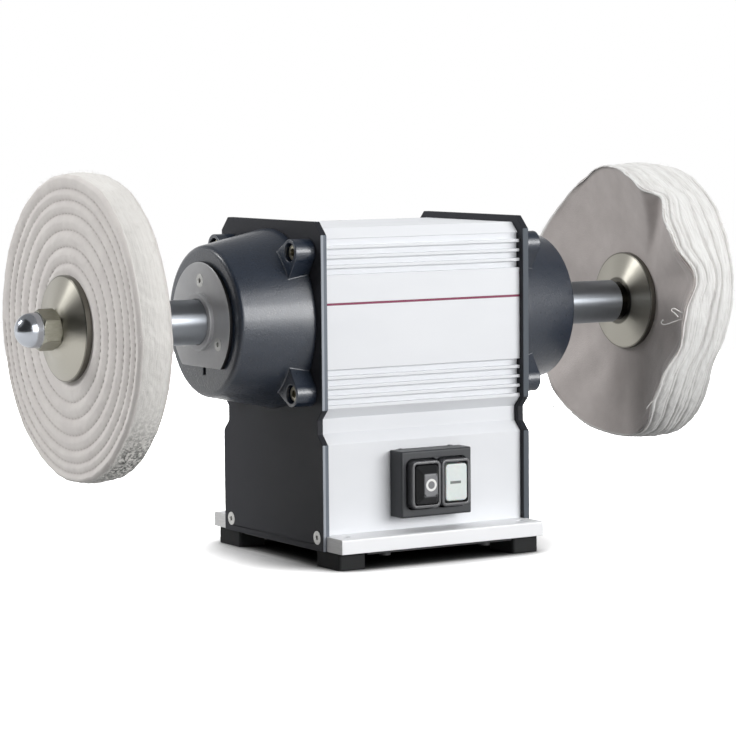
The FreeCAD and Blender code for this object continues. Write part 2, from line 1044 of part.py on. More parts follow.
def slot_pattern(outline, half_length):
    """A prism of the outline in each slot of the stator."""
    first = extruded_x(outline, -half_length, half_length)
    copies = []
    for step in range(slot_count):
        copy = first.copy()
        copy.rotate(point(0, 0, spindle_height), AXIS_X, 360 * step / slot_count)
        copies.append(copy)
    return copies


def stator_core():
    outer = stator_bore_radius - seat_fit
    core = ring_x(outer, rotor_radius + air_gap, -stack_half, stack_half)
    return core.cut(slot_pattern(slot_outline(0, True), stack_half))


def winding_overhang():
    """The bound end turns of the coils, on the right of the stack."""
    near = stack_half + winding_gap
    far = near + winding_length
    return turned(
        [
            (near, winding_inner_radius),
            (far - winding_chamfer, winding_inner_radius),
            (far, winding_inner_radius + winding_chamfer),
            (far, winding_outer_radius - winding_chamfer),
            (far - winding_chamfer, winding_outer_radius),
            (near, winding_outer_radius),
        ]
    )


def stator_windings():
    bars = slot_pattern(slot_outline(slot_liner, False), stack_half + winding_gap)
    overhang = winding_overhang()
    return overhang.multiFuse(bars + [mirrored(overhang)])


def rotor_core():
    return ring_x(rotor_radius, rotor_seat_radius + seat_fit, -stack_half, stack_half)


def rotor_end_rings():
    bore = end_ring_radius - end_ring_width
    ring = ring_x(end_ring_radius, bore, stack_half, stack_half + end_ring_length)
    return [mirrored(ring), ring]


def shaft():
    """One turned bar: rotor seat, shoulders, bearing seats and the two threaded noses."""
    nose_end = nut_base_x + nose_engagement
    half = [
        (stack_half, rotor_seat_radius),
        (stack_half, shaft_shoulder_radius),
        (bearing_inner_x, shaft_shoulder_radius),
        (bearing_inner_x, bearing_bore_radius),
        (sleeve_end, bearing_bore_radius),
        (sleeve_end, nose_radius),
        (nose_end - nose_chamfer, nose_radius),
        (nose_end, nose_radius - nose_chamfer),
        (nose_end, 0),
    ]
    return turned([(-x, r) for x, r in reversed(half)] + half)


# --- what turns with the shaft outside the caps, drawn for the right end ---
def spacer_sleeve():
    pilot_x = cap_face + sleeve_pilot
    return turned(
        [
            (cap_face, bearing_bore_radius + seat_fit),
            (cap_face, inner_shoulder_radius),
            (pilot_x, inner_shoulder_radius),
            (pilot_x, sleeve_radius),
            (sleeve_end - sleeve_chamfer, sleeve_radius),
            (sleeve_end, sleeve_radius - sleeve_chamfer),
            (sleeve_end, bearing_bore_radius + seat_fit),
        ]
    )


def inner_flange():
    bore = nose_radius + flange_bore_gap
    neck_x = sleeve_end + flange_neck_length
    relief_x = flange_base_x - flange_relief
    return turned(
        [
            (sleeve_end, bore),
            (sleeve_end, flange_neck_radius),
            (neck_x, flange_neck_radius),
            (neck_x, flange_cone_radius),
            (flange_base_x - flange_rim, flange_radius),
            (flange_base_x, flange_radius),
            (flange_base_x, flange_relief_radius),
            (relief_x, flange_relief_radius),
            (relief_x, bore),
        ]
    )


def outer_flange():
    bore = nose_radius + flange_bore_gap
    relief_x = wheel_outer_x + flange_relief
    return turned(
        [
            (relief_x, bore),
            (relief_x, flange_relief_radius),
            (wheel_outer_x, flange_relief_radius),
            (wheel_outer_x, flange_radius),
            (wheel_outer_x + flange_rim, flange_radius),
            (nut_base_x, flange_cone_radius),
            (nut_base_x, bore),
        ]
    )


def cap_nut():
    """A domed nut: chamfered hexagon, short neck and half ball, with a blind thread."""
    corner = nut_flats / math.sqrt(3)
    hexagon = hexagon_prism(
        nut_flats, point(nut_base_x, 0, spindle_height), nut_hex_height, AXIS_X
    )
    hex_end = nut_base_x + nut_hex_height
    flat_radius = nut_flats / 2
    envelope = turned(
        [
            (nut_base_x, 0),
            (nut_base_x, flat_radius),
            (nut_base_x + nut_corner_rise, corner),
            (hex_end - nut_corner_rise, corner),
            (hex_end, flat_radius),
            (hex_end, 0),
        ]
    )
    dome_x = nut_base_x + nut_height - nut_dome_radius
    neck = rod_x(nut_dome_radius, hex_end, dome_x)
    ball = Part.makeSphere(nut_dome_radius, point(dome_x, 0, spindle_height))
    top = block(
        (dome_x, nut_base_x + nut_height),
        (-nut_flats, nut_flats),
        (spindle_height - nut_flats, spindle_height + nut_flats),
    )
    body = fused([hexagon.common(envelope), neck, ball.common(top)])
    thread = rod_x(nose_radius + thread_fit, nut_base_x, nut_base_x + nut_thread_depth)
    return body.cut(thread)


def sewn_wheel():
    """The left wheel, a stitched cotton disc that is pressed in where the flange clamps it."""
    bore = nose_radius + flange_bore_gap
    dent = flange_radius + wheel_dent_gap
    face_x = wheel_outer_x - sewn_wheel_width
    outline = [
        (flange_base_x, bore),
        (flange_base_x, dent),
        (face_x, dent + wheel_dent_slope),
        (face_x, wheel_radius - wheel_edge),
        (face_x + wheel_edge, wheel_radius),
        (wheel_outer_x - wheel_edge, wheel_radius),
        (wheel_outer_x, wheel_radius - wheel_edge),
        (wheel_outer_x, bore),
    ]
    return mirrored(turned(outline))


def loose_wheel():
    """The right wheel, unsewn cotton plies that spread from the flanges to the rim."""
    bore = nose_radius + flange_bore_gap
    dent = flange_radius + wheel_dent_gap
    rim_in = flange_base_x - loose_wheel_flare_in
    rim_out = wheel_outer_x + loose_wheel_flare_out
    return turned(
        [
            (flange_base_x, bore),
            (flange_base_x, dent),
            (flange_base_x - loose_wheel_root, dent + wheel_dent_slope),
            (rim_in, wheel_radius - loose_wheel_edge),
            (rim_in + loose_wheel_edge, wheel_radius),
            (rim_out - loose_wheel_edge, wheel_radius),
            (rim_out, wheel_radius - loose_wheel_edge),
            (wheel_outer_x + loose_wheel_root, dent + wheel_dent_slope),
            (wheel_outer_x, dent),
            (wheel_outer_x, bore),
        ]
    )


# --- switch ---
def switch_housing():
    """A moulded box with a two-lobed opening in its face and a hollow back."""
    half = switch_box_width / 2
    low = switch_centre - switch_box_height / 2
    box = block((-half, half), (switch_face_y, -panel_y), (low, low + switch_box_height))
    front = [e for e in box.Edges if e.BoundBox.YMax < switch_face_y + switch_box_edge]
    box = box.makeFillet(switch_box_edge, front)
    cavity_half = switch_cavity_width / 2
    cavity_low = switch_centre - switch_cavity_height / 2
    cavity = block(
        (-cavity_half, cavity_half),
        (boot_back_y, -panel_y),
        (cavity_low, cavity_low + switch_cavity_height),
    )
    holes = [
        rod_y(
            switch_screw_shank + thread_fit,
            -panel_y - switch_screw_bite + wall,
            -panel_y,
            side_x * switch_screw_x,
            switch_screw_z(side),
        )
        for side_x in SIDES
        for side in SIDES
    ]
    return box.cut([cavity, two_lobes(0, switch_face_y, boot_back_y)] + holes)


def switch_screws():
    length = switch_screw_bite - bolt_gap
    return [
        Part.makeCylinder(
            switch_screw_shank,
            length,
            point(side_x * switch_screw_x, -bay_wall_y, switch_screw_z(side)),
            -AXIS_Y,
        ).fuse(
            rod_y(
                switch_screw_head,
                -bay_wall_y,
                -bay_wall_y + switch_screw_head_height,
                side_x * switch_screw_x,
                switch_screw_z(side),
            )
        )
        for side_x in SIDES
        for side in SIDES
    ]


def button_x(side):
    return side * lobe_pitch / 2


def switch_boot():
    """A soft frame in the opening, with a tall round-edged lip round each button."""
    plug = two_lobes(boot_fit, boot_floor_y, boot_back_y)
    rim_y = boot_floor_y - lip_height
    lips = []
    for side in SIDES:
        lip = pad_y(
            lobe_width - 2 * lip_inset,
            lobe_height - 2 * lip_inset,
            lobe_corner - lip_inset,
            rim_y,
            boot_floor_y,
            button_x(side),
        )
        rim = [e for e in lip.Edges if e.BoundBox.YMax < rim_y + lip_edge / 2]
        lips.append(lip.makeFillet(lip_edge, rim))
    web_half = lobe_height / 2 - lobe_corner
    web = block(
        (-lip_width, lip_width),
        (rim_y + lip_web_drop, boot_floor_y),
        (switch_centre - web_half, switch_centre + web_half),
    )
    flange_half = switch_cavity_width / 2 - boot_fit
    flange_low = switch_centre - switch_cavity_height / 2 + boot_fit
    flange = block(
        (-flange_half, flange_half),
        (boot_back_y, switch_body_front_y),
        (flange_low, flange_low + switch_cavity_height - 2 * boot_fit),
    )
    inset = lip_inset + lip_width
    openings = [
        pad_y(
            lobe_width - 2 * inset,
            lobe_height - 2 * inset,
            lobe_corner - inset,
            rim_y,
            switch_body_front_y,
            button_x(side),
        )
        for side in SIDES
    ]
    return fused([plug, web, flange] + lips).cut(openings)


def switch_body():
    """The contact block behind the boot, through the panel into the bay, with four tabs."""
    half = switch_body_width / 2
    low = switch_centre - switch_body_height / 2
    back = switch_body_front_y + switch_body_depth
    body = block((-half, half), (switch_body_front_y, back), (low, low + switch_body_height))
    pocket_low = switch_centre - pocket_height / 2
    pockets = [
        block(
            (button_x(side) - pocket_width / 2, button_x(side) + pocket_width / 2),
            (switch_body_front_y, pocket_floor_y),
            (pocket_low, pocket_low + pocket_height),
        )
        for side in SIDES
    ]
    body = body.cut(pockets)
    tabs = [
        block(
            (x - tab_width / 2, x + tab_width / 2),
            (back, back + tab_length),
            (z - tab_thickness / 2, z + tab_thickness / 2),
        )
        for x in (-tab_spread_x, tab_spread_x)
        for z in (switch_centre - tab_spread_z, switch_centre + tab_spread_z)
    ]
    return fused([body] + tabs)


def button_flange(side):
    """The step inside the switch that keeps a button from falling out."""
    low = switch_centre - button_flange_height / 2
    return block(
        (button_x(side) - button_flange_width / 2, button_x(side) + button_flange_width / 2),
        (button_flange_front_y, button_back_y),
        (low, low + button_flange_height),
    )


def rounded_wire(width, height, corner, x, y):
    """A rounded rectangle across Y, centred on the switch's height."""
    half_x, half_z = width / 2 - corner, height / 2 - corner
    diagonal = corner / math.sqrt(2)
    edges = []
    last = None
    for turn_x, turn_z in ((1, 1), (-1, 1), (-1, -1), (1, -1)):
        centre = point(x + turn_x * half_x, y, switch_centre + turn_z * half_z)
        side = centre + point(turn_x * corner, 0, 0)
        end = centre + point(0, 0, turn_z * corner)
        first, final = (side, end) if turn_x == turn_z else (end, side)
        middle = centre + point(turn_x * diagonal, 0, turn_z * diagonal)
        if last:
            edges.append(Part.makeLine(last, first))
        edges.append(Part.Arc(first, middle, final).toShape())
        last = final
    edges.append(Part.makeLine(last, edges[0].Vertexes[0].Point))
    return Part.Wire(edges)


def stop_button():
    """The left button: a raised frustum with a flat face, on a straight skirt."""
    x = button_x(-1)
    face_y = switch_face_y - stop_proud
    base_y = face_y + stop_slope_depth
    face = rounded_wire(stop_face_width, stop_face_height, stop_face_corner, x, face_y)
    base = rounded_wire(stop_base_width, stop_base_height, stop_base_corner, x, base_y)
    slope = Part.makeLoft([face, base], True)
    skirt = Part.Face(base).extrude(point(0, button_flange_front_y - base_y, 0))
    return fused([slope, skirt, button_flange(-1)])


def start_button():
    """The right button: a rounded block that stands just proud of the box."""
    face_y = switch_face_y - start_proud
    cap = pad_y(
        start_width, start_height, start_corner, face_y, button_flange_front_y, button_x(1)
    )
    rim = [e for e in cap.Edges if e.BoundBox.YMax < face_y + start_edge / 2]
    return fused([cap.makeFillet(start_edge, rim), button_flange(1)])


def button_spring(side):
    """A bowed leaf that stands on the pocket's floor and pushes the button out."""

    def bow(offset):
        return Part.Arc(
            point(0, pocket_floor_y, switch_centre - spring_half_span + offset),
            point(0, spring_crown_y + offset, switch_centre),
            point(0, pocket_floor_y, switch_centre + spring_half_span - offset),
        ).toShape()

    outer, inner = bow(0), bow(spring_thickness)
    ends = [
        Part.makeLine(outer.Vertexes[0].Point, inner.Vertexes[0].Point),
        Part.makeLine(outer.Vertexes[-1].Point, inner.Vertexes[-1].Point),
    ]
    wire = Part.Wire(Part.__sortEdges__([outer, inner] + ends))
    leaf = Part.Face(wire).extrude(point(spring_width, 0, 0))
    leaf.translate(point(button_x(side) - spring_width / 2, 0, 0))
    return leaf


# --- electrical parts in the bay ---
def motor_lead_x():
    """The motor's leads drop from the end turns to the last pole of the terminal block."""
    return terminal_first_x + (terminal_poles - 1) * terminal_pitch


def run_capacitor():
    can = Part.makeCylinder(
        capacitor_radius,
        capacitor_length,
        point(capacitor_left, capacitor_y, capacitor_z),
        AXIS_X,
    )
    ends = [e for e in can.Edges if e.BoundBox.XLength < capacitor_edge]
    return can.makeFillet(capacitor_edge, ends)


def capacitor_clip():
    """A band round the can with a foot against the rear wall."""
    middle = capacitor_left + capacitor_length / 2
    x_span = (middle - clip_width / 2, middle + clip_width / 2)
    inner = capacitor_radius + seat_fit
    outer = inner + clip_thickness
    half_z = clip_foot_height / 2
    foot = block(x_span, (capacitor_y, bay_wall_y), (capacitor_z - half_z, capacitor_z + half_z))
    band = rod_x(outer, *x_span, capacitor_y, capacitor_z)
    return band.fuse(foot).cut(rod_x(inner, *x_span, capacitor_y, capacitor_z))


def terminal_block():
    """A base on the housing's floor, with a barrier on each side of every pole."""
    left = terminal_first_x - terminal_pitch / 2
    right = left + terminal_poles * terminal_pitch
    half_barrier = terminal_barrier / 2
    y_span = (terminal_y - terminal_depth / 2, terminal_y + terminal_depth / 2)
    top = bay_floor + terminal_base
    base = block((left - half_barrier, right + half_barrier), y_span, (bay_floor, top))
    barriers = []
    for step in range(terminal_poles + 1):
        x = left + step * terminal_pitch
        barriers.append(
            block((x - half_barrier, x + half_barrier), y_span, (top, top + terminal_barrier_height))
        )
    return fused([base] + barriers)


def lead(route):
    """A round lead along straight runs that are joined by tangent arcs."""
    edges = []
    start = route[0]
    for corner, after in zip(route[1:-1], route[2:]):
        come = (corner - start).normalize()
        go = (after - corner).normalize()
        half_turn = come.getAngle(go) / 2
        cut = lead_bend * math.tan(half_turn)
        first = corner - come * cut
        last = corner + go * cut
        inward = (go - come).normalize()
        reach = lead_bend / math.cos(half_turn) - lead_bend
        edges.append(Part.makeLine(start, first))
        edges.append(Part.Arc(first, corner + inward * reach, last).toShape())
        start = last
    edges.append(Part.makeLine(start, route[-1]))
    path = Part.Wire(edges)
    section = Part.Wire(Part.makeCircle(lead_radius, route[0], route[1] - route[0]))
    return path.makePipeShell([section], True, False)


def internal_leads():
    """Leads from the motor, the switch and the capacitor to the terminal block."""
    pole_top = bay_floor + terminal_base
    poles = [terminal_first_x + step * terminal_pitch for step in range(terminal_poles)]
    switch_back = switch_body_front_y + switch_body_depth
    switch_low = switch_centre - tab_spread_z
    capacitor_end = capacitor_left + capacitor_length
    crossing_z = bay_ceiling - lead_crossing_drop
    descent_z = capacitor_z - lead_descent_drop
    from_switch = [
        point(poles[0] - lead_radius, switch_back, switch_low),
        point(poles[0] - lead_radius, terminal_y, switch_low),
        point(poles[0] - lead_radius, terminal_y, pole_top),
    ]
    from_capacitor = [
        point(capacitor_end, capacitor_y, capacitor_z),
        point(poles[1], capacitor_y, capacitor_z),
        point(poles[1], terminal_y, descent_z),
        point(poles[1], terminal_y, pole_top),
    ]
    from_motor = [
        point(motor_lead_x(), 0, spindle_height - winding_outer_radius),
        point(motor_lead_x(), 0, crossing_z),
        point(motor_lead_x(), terminal_y, crossing_z),
        point(motor_lead_x(), terminal_y, pole_top),
    ]
    return [lead(route) for route in (from_switch, from_capacitor, from_motor)]


def cable_gland():
    """The threaded body of the cable entry, with a hexagon outside the rear wall."""
    collar = hexagon_prism(gland_flats, point(gland_x, panel_y, gland_z), gland_collar, AXIS_Y)
    inner_y = bay_wall_y - locknut_thickness - locknut_thread_play
    outer_y = panel_y + gland_collar
    thread = rod_y(gland_thread_radius, inner_y, panel_y, gland_x, gland_z)
    neck = rod_y(gland_neck_radius, outer_y, outer_y + gland_neck_length, gland_x, gland_z)
    bore = rod_y(gland_bore_radius, inner_y, outer_y + gland_neck_length, gland_x, gland_z)
    return fused([collar, thread, neck]).cut(bore)


def gland_nut():
    """The domed clamping nut, bored for the cable."""
    base_y = panel_y + gland_collar
    tip_y = base_y + gland_nut_length
    shell = rod_y(gland_nut_radius, base_y, tip_y, gland_x, gland_z)
    rim = [e for e in shell.Edges if e.BoundBox.YMin > tip_y - gland_nut_edge / 2]
    shell = shell.makeFillet(gland_nut_edge, rim)
    thread = rod_y(
        gland_neck_radius + thread_fit, base_y, tip_y - gland_nut_entry_length, gland_x, gland_z
    )
    entry = rod_y(gland_nut_entry_radius, base_y, tip_y, gland_x, gland_z)
    return shell.cut([thread, entry])


def gland_locknut():
    nut = hexagon_prism(
        gland_flats, point(gland_x, bay_wall_y, gland_z), locknut_thickness, -AXIS_Y
    )
    inner_y = bay_wall_y - locknut_thickness
    return nut.cut(
        rod_y(gland_thread_radius + thread_fit, inner_y, bay_wall_y, gland_x, gland_z)
    )


# --- one file for each node ---
def nodes():
    """Each node's name with its solids."""
    made = {
        "housing_extrusion": [housing_extrusion()],
        "plate_screws": plate_screws(),
        "base_rail_front": [base_rail(-1)],
        "base_rail_rear": [base_rail(1)],
        "bottom_plate": [bottom_plate()],
        "bottom_plate_screws": bottom_plate_screws(),
        "foot_screws": foot_screws(),
        "end_cap_screws": end_cap_screws(),
        "retainer_screws": retainer_screws(),
        "wave_washer": [wave_washer()],
        "distance_ring": [distance_ring()],
        "stator_core": [stator_core()],
        "stator_windings": [stator_windings()],
        "rotor_core": [rotor_core()],
        "rotor_end_rings": rotor_end_rings(),
        "shaft": [shaft()],
        "polishing_wheel_left": [sewn_wheel()],
        "polishing_wheel_right": [loose_wheel()],
        "switch_housing": [switch_housing()],
        "switch_screws": switch_screws(),
        "switch_boot": [switch_boot()],
        "switch_body": [switch_body()],
        "stop_button": [stop_button()],
        "start_button": [start_button()],
        "stop_button_spring": [button_spring(-1)],
        "start_button_spring": [button_spring(1)],
        "run_capacitor": [run_capacitor()],
        "capacitor_clip": [capacitor_clip()],
        "terminal_block": [terminal_block()],
        "internal_leads": internal_leads(),
        "cable_gland": [cable_gland()],
        "gland_nut": [gland_nut()],
        "gland_locknut": [gland_locknut()],
    }
    paired = {
        "end_plate": [end_plate()],
        "end_cap": [end_cap()],
        "bearing_retainer": [bearing_retainer()],
        "shaft_seal": [shaft_seal()],
        "bearing_outer_ring": [bearing_outer_ring()],
        "bearing_inner_ring": [bearing_inner_ring()],
        "ball_set": ball_set(),
        "spacer_sleeve": [spacer_sleeve()],
        "inner_flange": [inner_flange()],
        "outer_flange": [outer_flange()],
        "cap_nut": [cap_nut()],
    }
    for side, word in ((-1, "left"), (1, "right")):
        for name, solids in paired.items():
            made[f"{name}_{word}"] = [on_side(side, solid) for solid in solids]
        made[f"rubber_foot_front_{word}"] = [rubber_foot(side, -1)]
        made[f"rubber_foot_rear_{word}"] = [rubber_foot(side, 1)]
    return made


os.makedirs("parts", exist_ok=True)
for name, solids in nodes().items():
    shape = solids[0] if len(solids) == 1 else Part.makeCompound(solids)
    shape.exportStep(f"parts/{name}.step")
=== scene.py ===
import math

import bmesh
import bpy
import numpy as np
from mathutils import Matrix, Vector, noise


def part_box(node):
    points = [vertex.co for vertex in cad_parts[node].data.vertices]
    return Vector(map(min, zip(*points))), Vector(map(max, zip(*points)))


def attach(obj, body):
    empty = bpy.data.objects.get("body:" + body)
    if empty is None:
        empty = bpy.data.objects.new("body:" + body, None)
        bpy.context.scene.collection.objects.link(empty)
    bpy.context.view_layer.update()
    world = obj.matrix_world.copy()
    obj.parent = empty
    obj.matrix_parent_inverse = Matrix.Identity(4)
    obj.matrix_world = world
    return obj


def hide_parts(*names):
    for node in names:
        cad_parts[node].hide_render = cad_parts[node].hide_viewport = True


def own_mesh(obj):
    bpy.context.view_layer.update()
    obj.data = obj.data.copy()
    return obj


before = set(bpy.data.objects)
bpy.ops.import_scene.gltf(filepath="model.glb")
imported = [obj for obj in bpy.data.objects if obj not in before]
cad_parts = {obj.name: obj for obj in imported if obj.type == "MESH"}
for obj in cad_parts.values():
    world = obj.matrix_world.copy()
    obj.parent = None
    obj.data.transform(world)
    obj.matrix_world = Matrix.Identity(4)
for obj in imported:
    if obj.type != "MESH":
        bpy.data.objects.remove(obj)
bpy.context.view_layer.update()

scene = bpy.context.scene

# ------------------------ motor housing
# One aluminium extrusion, cut to length and anodised silver-white. The die leaves faint lines
# along the spindle and cooling grooves in the panels. A thin stripe is printed on the front panel.


def span(node, axis):
    """Where a CAD node starts and ends along one axis, to a hundredth of a millimetre."""
    return [round(corner[axis], 5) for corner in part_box(node)]


def middle(node, axis):
    return round(sum(span(node, axis)) / 2, 5)


def tint(red, green, blue):
    """A colour given as it shows on screen, 0 to 255."""
    shown = [value / 255 for value in (red, green, blue)]
    return [v / 12.92 if v < 0.04045 else ((v + 0.055) / 1.055) ** 2.4 for v in shown] + [1.0]


def fill(tree, socket, value):
    """Gives a socket a value of its own, or what another node puts out."""
    if isinstance(value, bpy.types.NodeSocket):
        tree.links.new(value, socket)
    else:
        socket.default_value = value


def add_node(tree, kind, sockets, **settings):
    """Adds a node, set and filled, to any node tree, and returns what it puts out."""
    made = tree.nodes.new(kind)
    for name, value in settings.items():
        setattr(made, name, value)
    for socket, value in sockets.items():
        fill(tree, made.inputs[socket], value)
    return made.outputs


class Finish:
    """A surface finish, built up node by node around one shader."""

    def __init__(self, name, **sockets):
        self.material = bpy.data.materials.new(name)
        self.material.use_nodes = True
        self.tree = self.material.node_tree
        self.inputs = self.tree.nodes["Principled BSDF"].inputs
        for socket, value in sockets.items():
            self.feed(socket.replace("_", " "), value)

    def feed(self, socket, value):
        fill(self.tree, self.inputs[socket], value)

    def add(self, kind, sockets, result=0, **settings):
        return add_node(self.tree, "ShaderNode" + kind, sockets, **settings)[result]

    def spot(self, size=(1, 1, 1), centre=(0, 0, 0)):
        """The place on the piece, with the pattern centred and stretched."""
        own = self.add("TexCoord", {}, "Object")
        return self.add("Mapping", {"Vector": own, "Location": centre, "Scale": size}, vector_type="TEXTURE")

    def axes(self, centre=(0, 0, 0)):
        """The three distances from a centre, in metres."""
        return add_node(self.tree, "ShaderNodeSeparateXYZ", {0: self.spot(centre=centre)})

    def grain(self, size, stretch=(1, 1, 1), detail=3.0, rough=0.5):
        """Even noise with grains of one size in metres, drawn out along the axes."""
        sockets = {"Vector": self.spot(stretch), "Scale": 1 / size, "Detail": detail, "Roughness": rough}
        return self.add("TexNoise", sockets)

    def fit(self, value, low, high, start=0.0, end=1.0):
        """A value that went from start to end, made to go from low to high."""
        sockets = {"Value": value, "From Min": start, "From Max": end, "To Min": low, "To Max": high}
        return self.add("MapRange", sockets)

    def calc(self, operation, first, second=0.0):
        return self.add("Math", {0: first, 1: second}, operation=operation)

    def reach(self, first, second):
        """How far a point lies from an axis, from its two distances across it."""
        squares = [self.calc("POWER", offset, 2.0) for offset in (first, second)]
        return self.calc("SQRT", self.calc("ADD", *squares))

    def within(self, value, half, edge=0.00004):
        """1 where a distance, either way, is less than half, with a fine soft edge."""
        return self.fit(self.calc("ABSOLUTE", value), 1.0, 0.0, half - edge, half + edge)

    def past(self, value, limit, edge=0.0001):
        """1 where a distance, either way, is more than a limit and its soft edge."""
        return self.fit(self.calc("ABSOLUTE", value), 0.0, 1.0, limit, limit + edge)

    def blend(self, share, first, second):
        return self.add("Mix", {0: share, 6: first, 7: second}, 2, data_type="RGBA")

    def colour(self, value):
        self.feed("Base Color", value)

    def rough(self, value):
        self.feed("Roughness", value)

    def relief(self, height, depth):
        """Fine relief of a given depth in metres, on top of any relief already there."""
        sockets = {"Height": height, "Distance": depth, "Strength": 1.0}
        before = self.inputs["Normal"].links
        if before:
            sockets["Normal"] = before[0].from_socket
        self.feed("Normal", self.add("Bump", sockets))

    def vary(self, size, first, second, smooth, dull, depth=0.0, **grain):
        """Lets colour, roughness and relief wander together over one grain."""
        pattern = self.grain(size, **grain)
        self.colour(self.blend(pattern, tint(*first), tint(*second)))
        self.rough(self.fit(pattern, smooth, dull))
        if depth:
            self.relief(pattern, depth)


def show(name, mesh, finish, body, replaced=()):
    """Puts a piece into the scene: its finish, the body it rides on and what it replaces."""
    piece = bpy.data.objects.new(name, mesh)
    scene.collection.objects.link(piece)
    if finish:
        mesh.materials.clear()
        mesh.materials.append(finish.material)
    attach(piece, body)
    if replaced:
        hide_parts(*replaced)
    return piece


def merged(node):
    """A copy of a CAD node's mesh whose triangles share their corners."""
    shape = bmesh.new()
    shape.from_mesh(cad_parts[node].data)
    bmesh.ops.remove_doubles(shape, verts=shape.verts, dist=1e-6)
    return shape


def mesh_of(shape, name):
    """The mesh of a shape that nothing more is done to."""
    mesh = bpy.data.meshes.new(name)
    shape.to_mesh(mesh)
    shape.free()
    return mesh


flat_angle, edge_angle = math.radians(0.3), math.radians(28)


def softened(name, node, radius, finish, body, slot, steps=2, parted=None):
    """A rigid piece with its machined edges broken by a small radius.

    Its flat faces are first parted across an axis, at the places in parted, so that no long
    facets fan out from a round opening.
    """
    shape = merged(node)
    bmesh.ops.dissolve_limit(shape, angle_limit=flat_angle, verts=shape.verts, edges=shape.edges)
    for axis, places in (parted or {}).items():
        normal = [float(axis == turn) for turn in range(3)]
        for place in places:
            whole = shape.verts[:] + shape.edges[:] + shape.faces[:]
            on_plane = [place * part for part in normal]
            bmesh.ops.bisect_plane(shape, geom=whole, dist=1e-6, plane_co=on_plane, plane_no=normal)
    many_sided = [face for face in shape.faces if len(face.verts) > 4]
    bmesh.ops.triangulate(shape, faces=many_sided, ngon_method="BEAUTY")
    mesh = mesh_of(shape, name)
    mesh.shade_smooth()
    piece = show(name, mesh, finish, body, [node])
    edge = piece.modifiers.new("broken_edges", "BEVEL")
    edge.width = radius
    edge.segments = steps
    edge.limit_method = "ANGLE"
    edge.angle_limit = edge_angle
    edge.use_clamp_overlap = False
    edge.face_strength_mode = "FSTR_ALL"
    even = piece.modifiers.new("even_shading", "WEIGHTED_NORMAL")
    even.use_face_influence = True
    even.keep_sharp = True
    return piece


front_y, _ = span("housing_extrusion", 1)
stripe_z, stripe_half = 0.1756, 0.0008
anodised = Finish("anodised_housing", Specular_IOR_Level=0.35)
die_lines = anodised.grain(0.0016, (400, 1, 1), 4.0, 0.6)
cloudy = anodised.grain(0.035, (2.5, 1, 1))
pale = anodised.blend(cloudy, tint(228, 230, 234), tint(238, 240, 243))
_, panel_y, panel_z = anodised.axes((0, 0, stripe_z))
on_front = anodised.fit(panel_y, 1.0, 0.0, front_y + 0.0005, front_y + 0.0010)
stripe = anodised.calc("MULTIPLY", anodised.within(panel_z, stripe_half), on_front)
anodised.colour(anodised.blend(stripe, pale, tint(122, 34, 70)))
anodised.rough(anodised.fit(die_lines, 0.5, 0.6, 0.3, 0.7))
anodised.relief(die_lines, 0.000012)
anodised.relief(anodised.grain(0.0004), 0.000006)

# The panels are open for the switch and its screws in front, and for the gland at the rear.
window_half, window_low, window_high = 0.0247, 0.0344, 0.0718
screw_low, screw_high = 0.0310, 0.0752
gland_left, gland_right, gland_low, gland_high = 0.0485, 0.0715, 0.0335, 0.0565
openings = {
    0: (-window_half, window_half, gland_left, gland_right),
    2: (screw_low, gland_low, window_low, gland_high, window_high, screw_high),
}
shell = "housing_shell", "housing_extrusion"
softened(*shell, 0.00028, anodised, "frame", "anodised_housing", parted=openings)

# ------------------------ end plates
# Two steel plates close the housing. Both are powder-coated dark grey on their faces, with a fine
# grain, and their front and rear edges are ground to a satin grey. On the left plate the outer half of
# these edges is painted lighter, a painted highlight, and on the right plate they are painted darker, a
# painted shade. Zinc-plated screws hold them.


def dress(finish, *nodes):
    """Gives CAD nodes a finish, and leaves their shape alone."""
    for node in nodes:
        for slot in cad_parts[node].material_slots:
            slot.material = finish.material


_, plate_half_depth = span("end_plate_right", 1)
plate_inside, _ = span("end_plate_right", 0)
plate_coat = Finish("plate_coat", Metallic=0.0, Specular_IOR_Level=0.12)
grain = plate_coat.grain(0.0007, detail=2.0)
wear = plate_coat.grain(0.02, (1, 1, 1.4), 4.0, 0.6)
plate_x, plate_y, _ = plate_coat.axes()
ground_edge = plate_coat.past(plate_y, plate_half_depth - 0.0005)
coat_colour = plate_coat.blend(wear, tint(36, 37, 41), tint(46, 47, 52))
ground = plate_coat.blend(plate_coat.grain(0.003, (1, 1, 12)), tint(96, 103, 112), tint(126, 133, 142))
# Painted highlight: the outer half of the left plate's edges is lighter. Painted shade: the right plate's
# edges are darker.
highlight_half = plate_coat.past(plate_x, plate_inside + 0.0025, 0.0004)
left_edge_highlight = plate_coat.blend(highlight_half, ground, tint(168, 173, 181))
right_plate = plate_coat.fit(plate_x, 0.0, 1.0, -0.01, 0.01)
edge_painted_light = plate_coat.blend(right_plate, left_edge_highlight, tint(88, 94, 101))
plate_coat.colour(plate_coat.blend(ground_edge, coat_colour, edge_painted_light))
plate_coat.rough(plate_coat.fit(wear, 0.40, 0.52))
plate_coat.relief(grain, 0.00003)
for side in ("left", "right"):
    node = "end_plate_" + side
    softened(node + "_coated", node, 0.0004, plate_coat, "frame", "dark_end_plate")

screw_zinc = Finish("zinc_plated_screw", Metallic=0.8)
screw_zinc.vary(0.0011, (176, 176, 174), (212, 212, 209), 0.3, 0.45, detail=4.0)
dress(screw_zinc, "plate_screws")

# ------------------------ base rails, floor plate and feet
# Two flat aluminium rails, coated white and left bare where they are sawn off, carry the housing.
# A black sheet closes the bottom, and four moulded rubber feet are screwed on under the rails.

